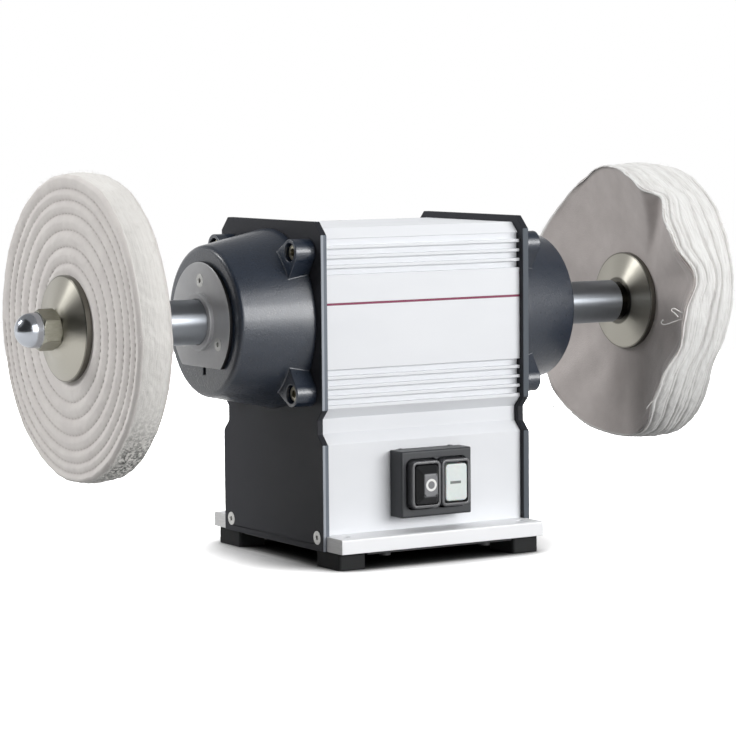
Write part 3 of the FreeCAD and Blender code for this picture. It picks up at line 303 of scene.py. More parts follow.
_, rail_end = span("base_rail_front", 0)
rail_coat = Finish("rail_coat", Metallic=0.1)
rail_cloud = rail_coat.grain(0.02, (4, 1, 1))
rail_x, _, _ = rail_coat.axes()
sawn = rail_coat.past(rail_x, rail_end - 0.0003)
saw_marks = rail_coat.grain(0.0006, (1, 14, 1))
rail_white = rail_coat.blend(rail_cloud, tint(226, 227, 229), tint(236, 237, 239))
rail_bare = rail_coat.blend(saw_marks, tint(184, 184, 185), tint(218, 218, 217))
rail_coat.colour(rail_coat.blend(sawn, rail_white, rail_bare))
rail_coat.rough(rail_coat.fit(rail_cloud, 0.36, 0.46))
rail_coat.relief(saw_marks, 0.000012)

# Bench bolts go through a round hole near each end of a rail.
hole_inside, hole_outside, hole_near, hole_far = 0.0660, 0.0740, 0.0712, 0.0788
for place, toward in (("front", -1), ("rear", 1)):
    holes = {
        0: (-hole_outside, -hole_inside, hole_inside, hole_outside),
        1: (toward * hole_near, toward * hole_far),
    }
    softened(place + "_rail", "base_rail_" + place, 0.0004, rail_coat, "frame", "white_rail", parted=holes)

sheet_black = Finish("black_sheet_coat", IOR=1.45)
sheet_black.vary(0.001, (26, 26, 28), (34, 34, 36), 0.5, 0.65)
dress(sheet_black, "bottom_plate", "bottom_plate_screws", "foot_screws")

foot_rubber = Finish("foot_rubber_moulded", Specular_IOR_Level=0.2)
foot_rubber.vary(0.006, (14, 15, 16), (30, 31, 32), 0.55, 0.8, detail=5.0, rough=0.65)
foot_rubber.relief(foot_rubber.grain(0.0005), 0.00002)
for place in ("front_left", "front_right", "rear_left", "rear_right"):
    softened("foot_" + place, "rubber_foot_" + place, 0.0007, foot_rubber, "frame", "foot_rubber")

# ------------------------ stator, windings and rotor
# The motor is pressed into the housing: a stack of thin stator sheets with lacquered copper coils,
# and inside it the rotor stack with its cast end rings, which are shrunk on the spindle.

lamination = Finish("stacked_sheets", Metallic=0.8)
sheets = {"stretch": (1, 60, 60), "detail": 1.0}
lamination.vary(0.0005, (92, 92, 94), (138, 138, 138), 0.4, 0.6, 0.00003, **sheets)
dress(lamination, "stator_core", "rotor_core")

copper = Finish("lacquered_copper", Metallic=0.75, Coat_Weight=0.6, Coat_Roughness=0.2)
strands = {"stretch": (5, 1, 1), "detail": 2.0}
copper.vary(0.0011, (132, 62, 34), (196, 112, 66), 0.28, 0.42, 0.0002, **strands)
dress(copper, "stator_windings")

cast_cage = Finish("cast_cage", Metallic=0.85)
cast_cage.vary(0.0012, (150, 150, 152), (184, 184, 184), 0.42, 0.6, 0.00005, detail=4.0)
dress(cast_cage, "rotor_end_rings")

# ------------------------ ball bearings, washers and seals
# Ground bearing steel for rings and balls, blue-grey spring steel for the preload washer and the
# distance ring, and felt rings that lie in the retainers and keep cotton dust out.

bearing_steel = Finish("ground_bearing_steel", Metallic=1.0)
bearing_steel.vary(0.0004, (168, 170, 174), (198, 200, 203), 0.12, 0.24, stretch=(1, 8, 8))
for side in ("left", "right"):
    dress(bearing_steel, "bearing_inner_ring_" + side, "bearing_outer_ring_" + side, "ball_set_" + side)

spring_steel = Finish("blued_spring_steel", Metallic=0.95)
spring_steel.vary(0.008, (116, 122, 134), (160, 162, 168), 0.25, 0.4)
dress(spring_steel, "wave_washer", "distance_ring")

felt = Finish("pressed_felt", Sheen_Weight=0.4)
felt.vary(0.0006, (92, 88, 80), (150, 145, 134), 0.85, 1.0, 0.0003, detail=6.0, rough=0.7)
dress(felt, "shaft_seal_left", "shaft_seal_right")

# ------------------------ end caps
# Conical castings that carry the bearings and cover the coil ends. They are sprayed blue-grey over
# the cast skin, which shows as a fine orange peel, and held by four socket screws in webbed lugs.

cap_paint = Finish("cap_paint_sprayed", IOR=1.45, Coat_Weight=0.65, Coat_Roughness=0.2)
peel = cap_paint.grain(0.0011, detail=3.0, rough=0.6)
skin = cap_paint.grain(0.006, detail=4.0)
cap_paint.colour(cap_paint.blend(skin, tint(21, 31, 45), tint(28, 39, 55)))
cap_paint.rough(cap_paint.fit(peel, 0.26, 0.4, 0.3, 0.7))
cap_paint.relief(peel, 0.0003)
cap_paint.relief(skin, 0.0001)
for side in ("left", "right"):
    node = "end_cap_" + side
    softened(node + "_cast", node, 0.0006, cap_paint, "frame", "cap_paint", 3)

zinc = Finish("yellow_zinc", Metallic=1.0)
zinc.vary(0.003, (150, 145, 124), (178, 174, 160), 0.22, 0.36, detail=4.0)
dress(zinc, "end_cap_screws")

# ------------------------ bearing retainers
# A turned light-alloy plate with a raised collar and one flat edge closes each cap. It is blasted
# matt, its turned edge is coloured near black, and three sunk screws hold it on.

spindle_z = middle("shaft", 2)
turned_radius = 0.0400
retainer_metal = Finish("blasted_retainer", Metallic=0.55)
blasted = retainer_metal.grain(0.0005, detail=4.0)
smudge = retainer_metal.grain(0.012)
_, retainer_y, retainer_z = retainer_metal.axes((0, 0, spindle_z))
turned_edge = retainer_metal.past(retainer_metal.reach(retainer_y, retainer_z), turned_radius, 0.0002)
blasted_grey = retainer_metal.blend(smudge, tint(166, 167, 170), tint(190, 191, 192))
retainer_metal.colour(retainer_metal.blend(turned_edge, blasted_grey, tint(14, 15, 17)))
retainer_metal.rough(retainer_metal.fit(smudge, 0.42, 0.55))
retainer_metal.relief(blasted, 0.00002)
for side in ("left", "right"):
    node = "bearing_retainer_" + side
    softened("retainer_" + side, node, 0.0003, retainer_metal, "frame", "retainer_metal")
dress(screw_zinc, "retainer_screws")

# ------------------------ spindle, sleeves and flanges
# The long spindle and its spacer sleeves are turned and ground steel. The cone flanges that clamp
# the wheels are turned from steel and nickel-plated over fine turning rings. Their neck is painted
# near black and their outer rim darker: painted shade.


def lathe_turned(finish, amount):
    """Turning grooves round the spindle, too fine to show, which draw highlights out across them."""
    _, y, z = finish.axes((0, 0, spindle_z))
    around = finish.add("CombineXYZ", {1: finish.calc("MULTIPLY", z, -1.0), 2: y})
    turned = {"vector_type": "VECTOR", "convert_from": "OBJECT", "convert_to": "WORLD"}
    finish.feed("Tangent", finish.add("VectorTransform", {0: around}, **turned))
    finish.feed("Anisotropic", amount)
    finish.feed("Anisotropic Rotation", 0.25)


turned_steel = Finish("turned_steel", Metallic=1.0)
lathe_lines = {"stretch": (1, 40, 40), "detail": 2.0}
turned_steel.vary(0.0004, (136, 140, 146), (148, 152, 157), 0.38, 0.42, **lathe_lines)
lathe_turned(turned_steel, 0.9)
dress(turned_steel, "shaft", "spacer_sleeve_left", "spacer_sleeve_right")

neck_x, neck_half, rim_radius = 0.2050, 0.0031, 0.0338
plated = Finish("plated_flange", Metallic=1.0)
facing_x, facing_y, facing_z = plated.axes((0, 0, spindle_z))
from_axis = plated.reach(facing_y, facing_z)
rings = plated.add("TexNoise", {"W": from_axis, "Scale": 2600.0, "Detail": 2.0}, noise_dimensions="1D")
nickel = plated.blend(rings, tint(158, 155, 145), tint(172, 169, 160))
# The neck is painted near black and the outer rim darker: painted shade.
from_neck = plated.calc("SUBTRACT", plated.calc("ABSOLUTE", facing_x), neck_x)
rim_shade = plated.calc("MULTIPLY", plated.past(from_axis, rim_radius, 0.0004), 0.55)
darker = plated.calc("MAXIMUM", plated.within(from_neck, neck_half, 0.0002), rim_shade)
plated.colour(plated.blend(darker, nickel, tint(30, 28, 24)))
plated.rough(plated.fit(rings, 0.28, 0.34))
lathe_turned(plated, 0.8)
for side in ("left", "right"):
    for place in ("inner", "outer"):
        cone, flange = place + "_cone_" + side, place + "_flange_" + side
        softened(cone, flange, 0.00035, plated, "spindle", "flange_steel")

# ------------------------ cap nuts
# Domed cap nuts pull the flanges together. The dome is chromed and bright, and the hexagon below it
# is satin and slightly yellow from the spanner.

hexagon_end = 0.2578
nut_chrome = Finish("nut_chrome_bright", Metallic=1.0)
nut_x, _, _ = nut_chrome.axes()
on_dome = nut_chrome.past(nut_x, hexagon_end, 0.0006)
spanner = nut_chrome.grain(0.0012, (3, 1, 1), 4.0)
hexagon = nut_chrome.blend(spanner, tint(138, 137, 124), tint(166, 165, 154))
nut_chrome.colour(nut_chrome.blend(on_dome, hexagon, tint(176, 180, 187)))
satin = nut_chrome.fit(spanner, 0.24, 0.4)
nut_chrome.rough(nut_chrome.add("Mix", {0: on_dome, 2: satin, 3: 0.2}, data_type="FLOAT"))
for side in ("left", "right"):
    softened("domed_nut_" + side, "cap_nut_" + side, 0.0003, nut_chrome, "spindle", "nut_chrome")

# ------------------------ sewn wheel on the left
# Discs of bleached cotton laid on each other and sewn through in one long spiral. The seam draws the
# faces down into a groove, which is painted darker as painted shade, and cloth swells between its
# turns. The rim is trimmed and fluffy, and the gaps between its plies are painted a little darker.


def ripple(angle, seed, lowest, highest, fall=1.0):
    """A smooth wave that closes on itself round the wheel, about -1 to 1."""
    draw = np.random.RandomState(seed)
    total = np.zeros_like(angle)
    for count in range(lowest, highest + 1):
        height = math.pow(lowest / count, fall) * draw.uniform(0.5, 1)
        total += height * np.sin(count * angle + draw.uniform(0, 6.28))
    return total / np.abs(total).max()


def speckle(x, radius, angle, size):
    """Solid noise on a ring of cloth, with lumps of one size."""
    places = zip(*np.broadcast_arrays(x, radius * np.cos(angle), radius * np.sin(angle)))
    return np.array([noise.noise(Vector(place) / size) for place in places])


class ClothRings:
    """A wheel's cloth as rings round the spindle, with the marks that its finish reads."""

    def __init__(self, angle, ply, tuft):
        self.angle, self.ply, self.tuft = angle, ply, tuft
        self.rows, self.depths, self.cuts, self.lays, self.faces = [], [], [], [], []
        self.closed = 0

    def ring(self, x, radius, depth=0.0, cut=0.0):
        """Adds a ring: its depth in a seam or fold, 0 to 1, which the finish paints as shade, and 1 for cut
        on the trimmed rim.
        """
        y, z, flat = np.cos(self.angle), np.sin(self.angle), 0 * self.angle
        self.rows.append(np.stack([x + flat, radius * y, spindle_z + radius * z], -1))
        self.depths.append(depth + flat)
        self.cuts.append(cut + flat)
        self.lays.append(cut * np.stack([x / self.ply + flat, self.tuft * y, self.tuft * z], -1))

    def close(self):
        """Joins the rings since the last call, and the last of them to the first, by quads."""
        rows, columns = len(self.rows) - self.closed, len(self.angle)
        i, j = np.meshgrid(np.arange(rows), np.arange(columns), indexing="ij")
        below, beside = (i + 1) % rows, (j + 1) % columns
        corners = [i * columns + j, below * columns + j, below * columns + beside, i * columns + beside]
        self.faces.append(np.stack(corners, -1).reshape(-1, 4) + self.closed * columns)
        self.closed = len(self.rows)

    def mesh(self, name, specked=lambda points: np.zeros(len(points))):
        """The whole cloth with its faces outward."""
        points = np.concatenate(self.rows)
        mesh = bpy.data.meshes.new(name)
        mesh.from_pydata(points.tolist(), [], np.concatenate(self.faces).tolist())
        marks = {"seam_depth": np.concatenate(self.depths), "dark_speck": specked(points)}
        marks |= {"cut_edge": np.concatenate(self.cuts), "lay": np.concatenate(self.lays)}
        for mark, values in marks.items():
            kind, field = ("FLOAT_VECTOR", "vector") if np.ndim(values) == 2 else ("FLOAT", "value")
            layer = mesh.attributes.new(mark, kind, "POINT")
            layer.data.foreach_set(field, np.ravel(values).astype(np.float32))
        shape = bmesh.new()
        shape.from_mesh(mesh)
        bmesh.ops.recalc_face_normals(shape, faces=shape.faces)
        shape.to_mesh(mesh)
        shape.free()
        mesh.shade_smooth()
        return mesh


sewn_outer_x, sewn_inner_x = span("polishing_wheel_left", 0)
sewn_hub_x, _ = span("inner_flange_left", 0)
_, sewn_radius = span("polishing_wheel_left", 1)
sewn_bore, clamp_radius, face_end, corner = 0.0081, 0.0358, 0.0985, 0.0022
trimmed_radius, rim_bow, ply_ridge, ply_pairs = 0.1002, 0.0012, 0.0002, 17
tuft_height, tuft_size, lump_height, lump_size = 0.0005, 0.0032, 0.0006, 0.014
face_lump_height, face_lump_size = 0.00022, 0.0042
seam_radii = np.array([0.0405, 0.0508, 0.0618, 0.0728, 0.0820, 0.0900, 0.0962])
seam_half_width, pillow_half_width, stitch_step = 0.0011, 0.0034, 0.0046
pillow_height, seam_depth = 0.0009, 0.0005
seam_turns = np.arange(len(seam_radii))
fine_turns = np.linspace(0, seam_turns[-1], 4801)
turn_lengths = 2 * np.pi * np.interp(fine_turns, seam_turns, seam_radii)[1:] * fine_turns[1]
seam_length = np.concatenate([[0], np.cumsum(turn_lengths)])


def seam_wander(angle):
    return 0.0007 * ripple(angle, 11, 2, 9)


def sewn_swell(radius, angle):
    """How far the cloth stands out from its flat face, and how deep it lies in the seam."""
    straight = radius - seam_wander(angle)
    turn = np.interp(straight, seam_radii, seam_turns) - angle / (2 * np.pi)
    gone = np.clip(np.round(turn), 0, seam_turns[-1] - 1) + angle / (2 * np.pi)
    away = straight - np.interp(gone, seam_turns, seam_radii)
    along = np.interp(gone, fine_turns, seam_length)
    tight = 0.8 + 0.2 * np.cos(2 * np.pi * along / stitch_step)
    drawn = np.exp(-((away / seam_half_width) ** 2)) * tight
    pillow = 1 - np.exp(-((away / pillow_half_width) ** 2))
    free = np.clip((radius - clamp_radius) / 0.004, 0, 1)
    return free * (pillow_height * pillow - seam_depth * drawn), drawn * free


angle = np.linspace(0, 2 * np.pi, 420, endpoint=False)
outline = 0.0009 * ripple(angle, 5, 2, 14) + 0.0004 * ripple(angle, 6, 15, 60)
lean = 0.0010 * ripple(angle, 7, 1, 5)
corner_turn = np.linspace(0, 1, 7)[1:-1] * np.pi / 2
hub_radii = [sewn_bore, 0.030, clamp_radius - 0.0003]
front_radii = np.concatenate([hub_radii, np.linspace(clamp_radius + 0.0003, face_end, 84)])
back_radii = np.concatenate([[sewn_bore, clamp_radius], np.linspace(0.0385, face_end, 52)])
rim_rows = 46

sewn = ClothRings(angle, ply=0.0007, tuft=9)
for radius in front_radii:
    rise, drawn = sewn_swell(radius + 0 * angle, angle)
    stretch = np.clip((radius - clamp_radius) / (sewn_radius - clamp_radius), 0, 1)
    fine = face_lump_height * speckle(0, radius, angle, face_lump_size) * (stretch > 0)
    x = sewn_outer_x - rise - fine + lean * stretch**2
    sewn.ring(x, radius + outline * stretch**3, drawn)
for bend in corner_turn:
    x = sewn_outer_x + corner * (1 - np.cos(bend)) + lean - 0.0005 * (1 - np.sin(bend))
    sewn.ring(x, face_end + corner * np.sin(bend) + outline)
for step, x in enumerate(np.linspace(sewn_outer_x + corner, sewn_inner_x - corner, rim_rows)):
    crossed = step / (rim_rows - 1)
    plies = np.abs(np.sin(np.pi * (crossed * ply_pairs + 0.6 * ripple(angle, 30, 1, 8))))
    tufts = tuft_height * speckle(x, sewn_radius, angle, tuft_size)
    lumps = lump_height * speckle(x, sewn_radius, angle, lump_size)
    bow = rim_bow * math.sin(math.pi * crossed)
    radius = trimmed_radius + bow + outline + ply_ridge * plies + tufts + lumps
    # Painted shade: between the ply edges the rim is painted a little darker.
    sewn.ring(x + lean, radius, 0.08 * (1 - plies), 1.0)
for bend in corner_turn[::-1]:
    x = sewn_inner_x - corner * (1 - np.cos(bend)) + lean
    sewn.ring(x, face_end + corner * np.sin(bend) + outline)
for radius in back_radii[::-1]:
    if radius <= clamp_radius:
        sewn.ring(sewn_hub_x, radius)
    else:
        rise, drawn = sewn_swell(radius + 0 * angle, angle)
        stretch = (radius - clamp_radius) / (sewn_radius - clamp_radius)
        sewn.ring(sewn_inner_x + rise + lean * stretch**2, radius + outline * stretch**3, drawn)
sewn.close()


def rim_dark_specks(points):
    """Dark specks on one stretch of the rim, mostly on its inner side."""
    x, y, z = points[:, 0], points[:, 1], points[:, 2] - spindle_z
    centre, half_width = -122, 19
    stretch = np.exp(-(((np.degrees(np.arctan2(z, y)) - centre) / half_width) ** 2))
    on_rim = np.clip((np.hypot(y, z) - face_end) / 0.001, 0, 1)
    return stretch * on_rim * np.clip((x - sewn_outer_x - 0.0005) / 0.006, 0, 1)


def cotton(name, clean, worn, streak_and_shade, cut, streak):
    """Woven cotton: threads too fine to count and a soft nap. Seams, folds and gaps between plies are painted
    darker with their depth, a painted shade, and dark specks go where the cloth is marked for them.
    """
    made = Finish(name, Sheen_Weight=0.25, Sheen_Roughness=0.5, IOR=1.4)
    marks = ("seam_depth", "dark_speck", "cut_edge")
    deep, dark_specks, edge = (made.add("Attribute", {}, "Fac", attribute_name=mark) for mark in marks)
    along_plies = made.add("Attribute", {}, "Vector", attribute_name="lay")
    streaks = made.add("TexNoise", {"Vector": along_plies, "Scale": 1.0, "Detail": 3.0, "Roughness": 0.6})
    cloud = made.grain(0.016, detail=5.0, rough=0.6)
    nap = made.grain(0.0012, detail=5.0, rough=0.7)
    thread = made.grain(0.0005, detail=2.0)
    base = made.blend(made.fit(cloud, 0.0, 1.0, 0.3, 0.7), tint(*clean), tint(*worn))
    plies = made.blend(made.fit(streaks, 0.0, streak, 0.45, 0.7), tint(*cut), tint(*streak_and_shade))
    # Painted shade: deeper in a seam, fold or gap between plies, the cloth is painted darker.
    seam = made.blend(made.fit(deep, 0.0, 0.62), made.blend(edge, base, plies), tint(*streak_and_shade))
    spots = made.fit(made.grain(0.0022, detail=3.0, rough=0.65), 0.0, 1.0, 0.44, 0.56)
    made.colour(made.blend(made.calc("MULTIPLY", spots, dark_specks), seam, tint(66, 68, 62)))
    made.rough(made.fit(nap, 0.85, 1.0))
    made.relief(made.calc("MULTIPLY", streaks, edge), 0.0006 * streak)
    made.relief(nap, 0.00022)
    made.relief(thread, 0.00008)
    return made


sewn_tints = (219, 215, 211), (209, 204, 201), (184, 178, 175), (228, 226, 222)
sewn_cotton = cotton("sewn_cotton", *sewn_tints, 0.25)
sewn_mesh = sewn.mesh("sewn_wheel", rim_dark_specks)
show("sewn_wheel", sewn_mesh, sewn_cotton, "spindle", ["polishing_wheel_left"])


def geometry_tree(name, **inputs):
    """A geometry tree with named inputs, what they give, and the calls that add to it and end it."""
    tree = bpy.data.node_groups.new(name, "GeometryNodeTree")
    tree.interface.new_socket("Geometry", in_out="INPUT", socket_type="NodeSocketGeometry")
    tree.interface.new_socket("Cloth", in_out="INPUT", socket_type="NodeSocketMaterial")
    for title, (kind, start) in inputs.items():
        made = tree.interface.new_socket(title, in_out="INPUT", socket_type="NodeSocket" + kind)
        made.default_value = start
    tree.interface.new_socket("Geometry", in_out="OUTPUT", socket_type="NodeSocketGeometry")
    given = tree.nodes.new("NodeGroupInput").outputs

    def add(kind, sockets, **settings):
        return add_node(tree, kind, sockets, **settings)

    def scatter(points, piece, turn, size):
        """Sets a piece on every point, and ends the tree."""
        sockets = {"Points": points, "Instance": piece, "Rotation": turn, "Scale": size}
        pieces = add("GeometryNodeInstanceOnPoints", sockets)
        real = add("GeometryNodeRealizeInstances", {"Geometry": pieces[0]})
        painted = add("GeometryNodeSetMaterial", {"Geometry": real[0], "Material": given["Cloth"]})
        add("NodeGroupOutput", {0: painted[0]})

    return tree, given, add, scatter


def settled(holder):
    """The plain mesh that an object's modifiers or bevel give. The object itself goes."""
    scene.collection.objects.link(holder)
    bpy.context.view_layer.update()
    graph = bpy.context.evaluated_depsgraph_get()
    final = holder.evaluated_get(graph)
    mesh = bpy.data.meshes.new_from_object(final, preserve_all_data_layers=True, depsgraph=graph)
    bpy.data.objects.remove(holder)
    return mesh


def grown(name, mesh, tree, **values):
    """Shows the cotton piece that a geometry tree makes from a base mesh."""
    holder = bpy.data.objects.new(name + "_base", mesh)
    change = holder.modifiers.new("tree", "NODES")
    change.node_group = tree
    for item in tree.interface.items_tree:
        if item.in_out == "INPUT" and item.name in values:
            change[item.identifier] = values[item.name]
    made = settled(holder)
    made.name = name
    return show(name, made, None, "spindle")


# The seam itself: one heavy thread, seen as a short dash between each two needle holes. The thread is
# coloured darker than the cloth, a painted shade of the dent it lies in.
shaded_seam_thread = Finish("shaded_seam_thread", Sheen_Weight=0.2)
shaded_seam_thread.vary(0.0005, (166, 160, 156), (188, 182, 178), 0.8, 0.95, 0.0002, detail=2.0)

seam_tree, given, add, scatter = geometry_tree(
    "spiral_seam", Stitch=("Float", 0.0030), Thread=("Float", 0.0003)
)
dash = add("GeometryNodeMeshUVSphere", {"Segments": 6, "Rings": 5, "Radius": given["Thread"]})
ratio = add("ShaderNodeMath", {0: given["Stitch"], 1: given["Thread"]}, operation="DIVIDE")
half = add("ShaderNodeMath", {0: ratio[0], 1: 0.5}, operation="MULTIPLY")
longer = add("ShaderNodeCombineXYZ", {"X": half[0], "Y": 1.0, "Z": 0.8})
drawn_out = add("GeometryNodeTransform", {"Geometry": dash[0], "Scale": longer[0]})
direction = add("GeometryNodeInputNamedAttribute", {"Name": "run"}, data_type="FLOAT_VECTOR")
aligned = add("FunctionNodeAlignEulerToVector", {"Vector": direction[0]}, axis="X")
uneven = add("FunctionNodeRandomValue", {"Seed": 4, 2: 0.8, 3: 1.15}, data_type="FLOAT")
scatter(given["Geometry"], drawn_out[0], aligned[0], uneven[1])

gone = np.interp(np.arange(stitch_step, seam_length[-1], stitch_step), seam_length, fine_turns)
at = 2 * np.pi * (gone % 1)
wander = np.interp(at, angle, seam_wander(angle), period=2 * np.pi)
stitch_radius = np.interp(gone, seam_turns, seam_radii) + wander
stretch = (stitch_radius - clamp_radius) / (sewn_radius - clamp_radius)
stitch_lean = np.interp(at, angle, lean, period=2 * np.pi) * stretch**2
run = np.stack([0 * at, -np.sin(at), np.cos(at)], -1)
for face, x, title in ((-1, sewn_outer_x, "outer"), (1, sewn_inner_x, "inner")):
    sunk_x = x - face * 0.0003 + stitch_lean
    places = np.stack([sunk_x, stitch_radius * np.cos(at), spindle_z + stitch_radius * np.sin(at)], -1)
    line = bpy.data.meshes.new("seam_" + title)
    line.from_pydata(places.tolist(), [], [])
    layer = line.attributes.new("run", "FLOAT_VECTOR", "POINT")
    layer.data.foreach_set("vector", run.astype(np.float32).ravel())
    stitches = grown("seam_" + title, line, seam_tree, Cloth=shaded_seam_thread.material)
    stitches.data.shade_smooth()

# Loose fibres that stand off the trimmed rims of both wheels.
fibre_tree, given, add, scatter = geometry_tree(
    "rim_fibres", Density=("Float", 60000.0), Length=("Float", 0.0026), Fibre=("Float", 0.00005),
    Seed=("Int", 3)
)
sideways = add("ShaderNodeMath", {0: given["Length"], 1: 0.45}, operation="MULTIPLY")
tip = add("ShaderNodeCombineXYZ", {"X": sideways[0], "Z": given["Length"]})
middle_height = add("ShaderNodeMath", {0: given["Length"], 1: 0.6}, operation="MULTIPLY")
bend = add("ShaderNodeCombineXYZ", {"Z": middle_height[0]})
stem_ends = {"Resolution": 3, "Start": (0, 0, 0), "Middle": bend[0], "End": tip[0]}
stem = add("GeometryNodeCurveQuadraticBezier", stem_ends)
section = add("GeometryNodeCurvePrimitiveCircle", {"Resolution": 3, "Radius": given["Fibre"]})
sockets = {"Curve": stem[0], "Profile Curve": section[0], "Fill Caps": True}
fibre = add("GeometryNodeCurveToMesh", sockets)
sockets = {"Mesh": given["Geometry"], "Density": given["Density"], "Seed": given["Seed"]}
spread = add("GeometryNodeDistributePointsOnFaces", sockets)
swings = {"Seed": given["Seed"], 0: (-1.1, -1.1, -3.14), 1: (1.1, 1.1, 3.14)}
swing = add("FunctionNodeRandomValue", swings, data_type="FLOAT_VECTOR")
tilt = {"Rotation": spread["Rotation"], "Rotate By": swing[0]}
tilted = add("FunctionNodeRotateEuler", tilt, space="LOCAL")
size = add("FunctionNodeRandomValue", {"Seed": given["Seed"], 2: 0.4, 3: 1.3}, data_type="FLOAT")
scatter(spread["Points"], fibre[0], tilted[0], size[1])


def rim_only(mesh, least):
    """The faces of a wheel that lie beyond a radius, as a base for fibres."""
    shape = bmesh.new()
    shape.from_mesh(mesh)
    centres = [(face, face.calc_center_median()) for face in shape.faces]
    low = [face for face, place in centres if math.hypot(place.y, place.z - spindle_z) < least]
    bmesh.ops.delete(shape, geom=low, context="FACES")
    return mesh_of(shape, "rim_base")


fibre_cotton = Finish("fibre_cotton", Sheen_Weight=0.4)
fibre_cotton.vary(0.004, (222, 220, 216), (238, 237, 234), 0.85, 1.0)
sewn_fringe_from = 0.0992
sewn_growth = {"Density": 90000.0, "Length": 0.0018, "Seed": 3, "Cloth": fibre_cotton.material}
grown("sewn_wheel_fibres", rim_only(sewn_mesh, sewn_fringe_from), fibre_tree, **sewn_growth)

# ------------------------ loose wheel on the right
# Cotton discs that are sewn only near the bore, so that they flare from the flanges and hang in
# waves at the rim. Single plies part from the bundle, and threads come loose from the cut edge.

_, loose_hub_in = span("inner_flange_right", 0)
loose_hub_out, _ = span("outer_flange_right", 0)
_, flare_end = span("polishing_wheel_right", 1)
loose_bore, flare_from, loose_fringe_from = 0.0081, 0.0365, 0.0975
loose_bow, loose_tuft_height, loose_lump_height, rim_edge = 0.0014, 0.0004, 0.0011, 0.0011

# Where the two edges of the rim lie along the spindle: degrees round it, and millimetres.
inner_edge = {
    113: 190, 124: 187, 128: 202, 134: 197, 141: 191, 155: 192, 165: 204, 170: 204, 179: 194, 187: 191,
    196: 192, 207: 183, 223: 185, 247: 203, 270: 213, 290: 204, 315: 198, 340: 206, 360: 206, 383: 201,
    405: 209, 425: 210, 447: 198,
}
outer_edge = {
    100: 243, 130: 245, 170: 238, 185: 235, 205: 226, 240: 239, 270: 247, 315: 240, 360: 245, 405: 242,
    440: 245,
}
wave_angle = np.linspace(0, 2 * np.pi, 480, endpoint=False)
around = np.degrees(wave_angle)


def edge_wave(table, blur):
    """A smooth rim line through the places of a table."""
    known = sorted((place % 360, x) for place, x in table.items())
    line = np.interp(around, [place for place, _ in known], [x for _, x in known], period=360) / 1000
    waves = np.fft.rfft(line)
    return np.fft.irfft(waves * np.exp(-((np.arange(len(waves)) * blur) ** 2)), len(line))


wave_in, wave_out = edge_wave(inner_edge, 0.024), edge_wave(outer_edge, 0.045)
loose_radius = 0.0994 + 0.0012 * ripple(wave_angle, 21, 2, 7)
drape = 0.0013 * ripple(wave_angle, 36, 5, 13, 0.4)


def loose_x(share, radius):
    """Where the cloth lies, from the inner face, 0, to the outer one, 1, at one radius."""
    out = np.clip((radius - flare_from) / (flare_end - flare_from), 0, None)
    hub = loose_hub_in + (loose_hub_out - loose_hub_in) * share
    rim = wave_in + (wave_out - wave_in) * share
    return hub + (rim - hub) * out**1.45 + drape * np.clip(out * (1 - out) * 4, 0, 1)


# The cut edges lie in bundles, and the folds between the bundles wander and fade round the rim.
# The deeper a fold, the darker it is painted: painted shade.
deep_fold, slight_fold, darkest_fold = (0.0020, 0.020), (0.0009, 0.012), 0.0028
draw = np.random.RandomState(8)
folds = []
for place in np.concatenate([np.linspace(0.02, 0.30, 10), np.linspace(0.35, 0.97, 15)]):
    depth, width = deep_fold if len(folds) % 5 == 3 else slight_fold
    line = place + draw.uniform(-0.012, 0.012) + 0.035 * ripple(wave_angle, 200 + len(folds), 1, 7)
    fade = np.clip(0.35 + 0.9 * ripple(wave_angle, 240 + len(folds), 1, 6), 0, 1)
    folds.append((line, fade * depth, width))

loose = ClothRings(wave_angle, ply=0.0008, tuft=7)
face_radii = [loose_bore, 0.030, 0.0362, 0.040] + list(np.linspace(0.045, 0.0975, 17))
rim_steps = 118
for radius in face_radii:
    loose.ring(loose_x(0.0, radius), radius)
for step in range(rim_steps):
    share = step / (rim_steps - 1)
    rounded = 1 - math.sqrt(1 - max(0.0, 1 - 24 * min(share, 1 - share)) ** 2)
    crease = sum(depth * np.exp(-np.abs(share - line) / width) for line, depth, width in folds)
    x = loose_x(share, flare_end) + 0.0009 * math.sin(math.pi * share) * ripple(wave_angle, 34, 3, 9)
    tufts = loose_tuft_height * speckle(x, flare_end, wave_angle, 0.0034)
    lumps = loose_lump_height * speckle(x, flare_end, wave_angle, 0.017)
    swell = loose_bow * math.sin(math.pi * share) + tufts + lumps
    radius = loose_radius + swell - rim_edge * rounded - crease
    # Painted shade: deeper folds are painted darker.
    loose.ring(x, radius, np.clip(crease / darkest_fold, 0, 1), 1.0)
for radius in face_radii[::-2]:
    loose.ring(loose_x(1.0, radius), radius)
loose.close()

# Three single plies that part from the bundle where the inner edge turns, and lie in it elsewhere.
half_ply, parts_from, pressed_in = 0.0003, 0.084, 0.0004
for ply, (place, spread, parted) in enumerate([(161, 7.0, 0.0036), (176, 16.0, 0.0019), (222, 26.0, 0.0024)]):
    away = parted * np.exp(-(((around - place) / spread) ** 2)) - 0.0008
    trim = loose_radius - 0.0003 + 0.0005 * ripple(wave_angle, 50 + ply, 6, 30)
    ply_radii = [parts_from, 0.090, 0.0955, trim]
    for side, radii in ((-1, ply_radii), (1, ply_radii[::-1])):
        for radius in radii:
            free = np.clip((radius - parts_from) / 0.0156, 0, 1) ** 1.3
            lies = loose_x(0.0, radius) - away * free
            loose.ring(lies + side * half_ply + pressed_in * (1 - free), radius)
    loose.close()

